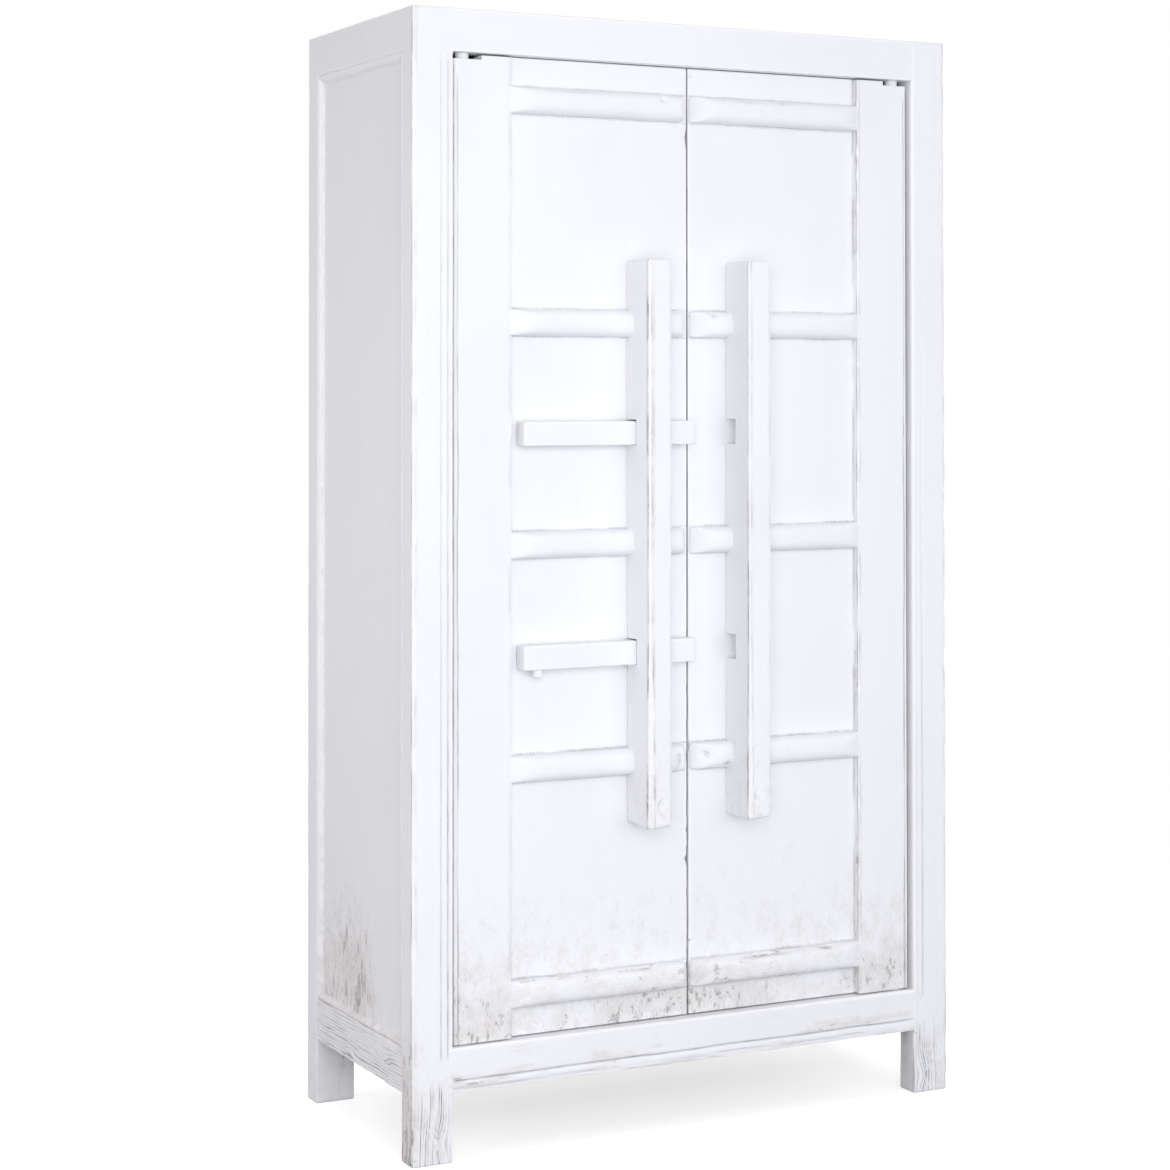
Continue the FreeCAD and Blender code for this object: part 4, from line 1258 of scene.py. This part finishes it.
def pull_post(hand):
    """A tall square pull, rubbed round on its arrises, most of all at its foot."""
    low, high = PULL_LOW, PULL_HIGH
    right = hand == "right"
    seed, rubbed, foot_rub = (461, 3.4, 6.0) if right else (451, 5.2, 6.4)
    reach = (low[2], high[2])

    def outer(places):
        return rubbed + foot_rub * ramp(places, low[2] + 420, low[2] + 20)

    def inner(places):
        return 3.2 + 1.5 * ramp(places, low[2] + 300, low[2])

    def strong(places):
        return 0.5 + 1.1 * ramp(places, low[2] + 720, low[2] + 420)

    near, far = ("+x-y", "-x-y") if right else ("-x-y", "+x-y")
    arris = {near: worn(outer, 0.55, seed + 1, 22, 1.7, 5, reach),
             far: worn(inner, 0.5, seed + 2, 20, 2.0, 7, reach),
             "else": worn(2.4, 0.6, seed + 3, 6, 2.0, 14, reach)}
    lines = {near: (0.5, strong) if right else (1.6, 0.8), far: (1.0, 0.5) if right else (0.4, 0.9)}

    def zone(points):
        return 0.42 * ramp(points[..., 2], low[2] + 260, low[2]) + 0.06

    def foot(points):
        across, back = ((points[..., i] - low[i]) / (high[i] - low[i]) for i in (0, 1))
        rise = (6.5 * (1 - across) if right else 3.0 * across) + 2.5 * back
        rise = rise + 1.4 * (1 + noise(points * (1, 1, 0), 24, seed + 6))
        moved = points.copy()
        moved[..., 2] += rise * (1 - ramp(points[..., 2], low[2] + 10, low[2] + 60))
        return moved

    nicks = [((low[0] + 30 * (1 if right else 0.7), low[1], low[2] + 46), (12, 14, 30), 1.35),
             ((high[0] - 8, low[1], low[2] + 150), (5, 10, 16), 1.2)]
    return timber(low, high, 2, 3.6, {"-y": 3.0, "-x": 3.6, "+x": 3.6, "else": 9.0}, arris, seed,
                  (-70 if right else 70, -40), end_round=5.5, bulge={near: 0.08, far: 0.5, "else": 0.9},
                  trim=foot, lines=lines, ring=6.0, brush=0.12, brush_depth=0.7, bend=2.4, wave=1.1,
                  wave_size=(90, 260), zone=zone, fleck_size=(7, 30), fleck_depth=0.8, nicks=nicks)


def pull_cutters():
    """The notches for the bolts."""
    cutters = []
    for low, high in (UPPER_BOLT, LOWER_BOLT):
        bottom = high[2] - (UPPER_BOLT[1][2] - UPPER_BOLT[0][2])
        cutters.append(block((PULL_LOW[0] - CUT_MARGIN, low[1] - NOTCH_SIDE, bottom - NOTCH_SEAT),
                             (PULL_HIGH[0] + CUT_MARGIN, BOARD_FACE + CUT_MARGIN, high[2] + NOTCH_TOP)))
    return cutters


def make_door(hand):
    """Every piece of one door."""
    main, pins = stile(hand)
    where = {"hand": hand, "body": hand + "_door", "slot": "door_paint"}
    piece = place("left_door_stile", main, 2, **where)
    notch = block((STILE_LOW[0] - CUT_MARGIN, STILE_LOW[1] - CUT_MARGIN, STEP_TOP),
                  (STILE_LOW[0] + STEP_WIDTH, STILE_HIGH[1] + CUT_MARGIN, DOOR_HEAD + CUT_MARGIN))
    carve(piece, [notch], hand)
    for end, pin in zip(("upper", "lower"), pins):
        show("%s_door_%s_pivot" % (hand, end), handed(pin, hand), 2, where["body"], [], "door_paint")
    place("left_door_boards", door_boards(hand), 2, **where)
    for number, name in enumerate(BATTENS):
        surface = batten(hand, number, BATTEN_NICKS.get((hand, number), []))
        place("left_door_%s_batten" % name, surface, 0, **where)
    piece = place("left_pull_post", pull_post(hand), 2, **where)
    carve(piece, pull_cutters(), hand)


def bolt(low, high, seed):
    """A square bolt with eased arrises."""
    arris = worn(2.0, 0.6, seed, 10, 1.8, 10, (low[0], high[0]))
    return timber(low, high, 0, 5.0, 4.0, arris, seed, (60, -40), end_round=2.2, brush=0.12, wave=0.5,
                  wave_size=(60, 160), zone=0.05)


def make_bolts():
    """The two sliding bolts and the stop peg of the lower one."""
    for node, box, seed in (("upper_bolt", UPPER_BOLT, 501), ("lower_bolt", LOWER_BOLT, 511)):
        place(node, bolt(*box, seed), 0, body=node, slot="bolt_paint")
    low, high = span("lower_bolt_peg")
    start = np.array((*(low + high)[:2] / 2, low[2]))
    peg = rod(start, high[2] - low[2] - PEG_SHORT, 2, high[0] - low[0], 2.0, 6.0, 28)
    place("lower_bolt_peg", peg, 2, body="lower_bolt", slot="bolt_paint")


def dress_kept_nodes():
    """Materials for the small nodes that stay as they are."""
    for name, axis in (("hanging_socket", 2), ("pull_pegs", 1)):
        for hand in HANDS:
            item = frame["nodes"]["%s_%s" % (hand, name)]
            if not item.material_slots:
                item.data.materials.append(WASHED[axis])
            for slot in item.material_slots:
                slot.material = WASHED[axis]


# Stage, light and camera

def make_floor():
    """A pale floor that keeps the object's shadow and runs into the white backdrop."""
    s = Shader("floor_white")
    radius = s.node("ShaderNodeVectorMath", {0: s.place}, operation="LENGTH").outputs["Value"]
    plain, dim = (s.node("ShaderNodeBsdfDiffuse", {"Color": colour}).outputs[0]
                  for colour in (FLOOR_COLOUR, FLOOR_BOUNCE))
    glow, backdrop = (s.node("ShaderNodeEmission", {"Strength": strength}).outputs[0]
                      for strength in (FLOOR_GLOW, BACKDROP_GLOW))
    lit = s.node("ShaderNodeAddShader", {0: plain, 1: glow}).outputs[0]
    visible = s.blend(s.ramp(radius, FLOOR_NEAR, FLOOR_FAR), lit, backdrop)
    s.node("ShaderNodeOutputMaterial", {"Surface": s.blend(s.seen(), dim, visible)})
    half = FLOOR_SIZE / 2
    mesh = bpy.data.meshes.new("floor")
    corners = [(x * half, y * half, -FLOOR_DROP) for x, y in ((-1, -1), (1, -1), (1, 1), (-1, 1))]
    mesh.from_pydata(corners, [], [(0, 1, 2, 3)])
    mesh.materials.append(s.material)
    added("floor", mesh)


def make_world():
    """Even light from all round, with a white backdrop for the camera."""
    world = bpy.data.worlds.new("studio")
    bpy.context.scene.world = world
    world.use_nodes = True
    tree = Nodes(world.node_tree)
    light, white = (tree.node("ShaderNodeBackground", {"Color": colour, "Strength": strength}).outputs[0]
                    for colour, strength in ((AMBIENT_COLOUR, AMBIENT_STRENGTH), (WHITE, BACKDROP_GLOW)))
    tree.node("ShaderNodeOutputWorld", {"Surface": tree.blend(tree.seen(), light, white)})


def make_lamps():
    """A cool key lamp and a nearer, warmer fill in front, and a weak lamp at each side and the back."""
    for name, (spot, target, size, power, colour) in LAMPS.items():
        data = bpy.data.lights.new(name, "AREA")
        data.shape = "SQUARE"
        data.size = size
        data.energy = power
        data.color = colour
        lamp = added(name, data)
        lamp.location = spot
        way = Vector(target) - lamp.location
        lamp.rotation_euler = way.to_track_quat("-Z", "Y").to_euler()


def make_camera():
    """The photograph's camera."""
    data = bpy.data.cameras.new("camera")
    data.lens = CAMERA_LENS_MM
    data.sensor_width = CAMERA_SENSOR_MM
    data.shift_y = CAMERA_SHIFT_Y
    data.clip_end = CAMERA_REACH
    camera = added("camera", data)
    camera.location = CAMERA_PLACE
    camera.rotation_euler = (math.radians(90 + CAMERA_PITCH_DEG), math.radians(CAMERA_ROLL_DEG),
                             math.radians(-CAMERA_TURN_DEG))
    bpy.context.scene.camera = camera


make_case()
for hand in HANDS:
    make_door(hand)
make_bolts()
dress_kept_nodes()
make_floor()
make_world()
make_lamps()
make_camera()
bpy.context.scene.view_settings.view_transform = "Standard"
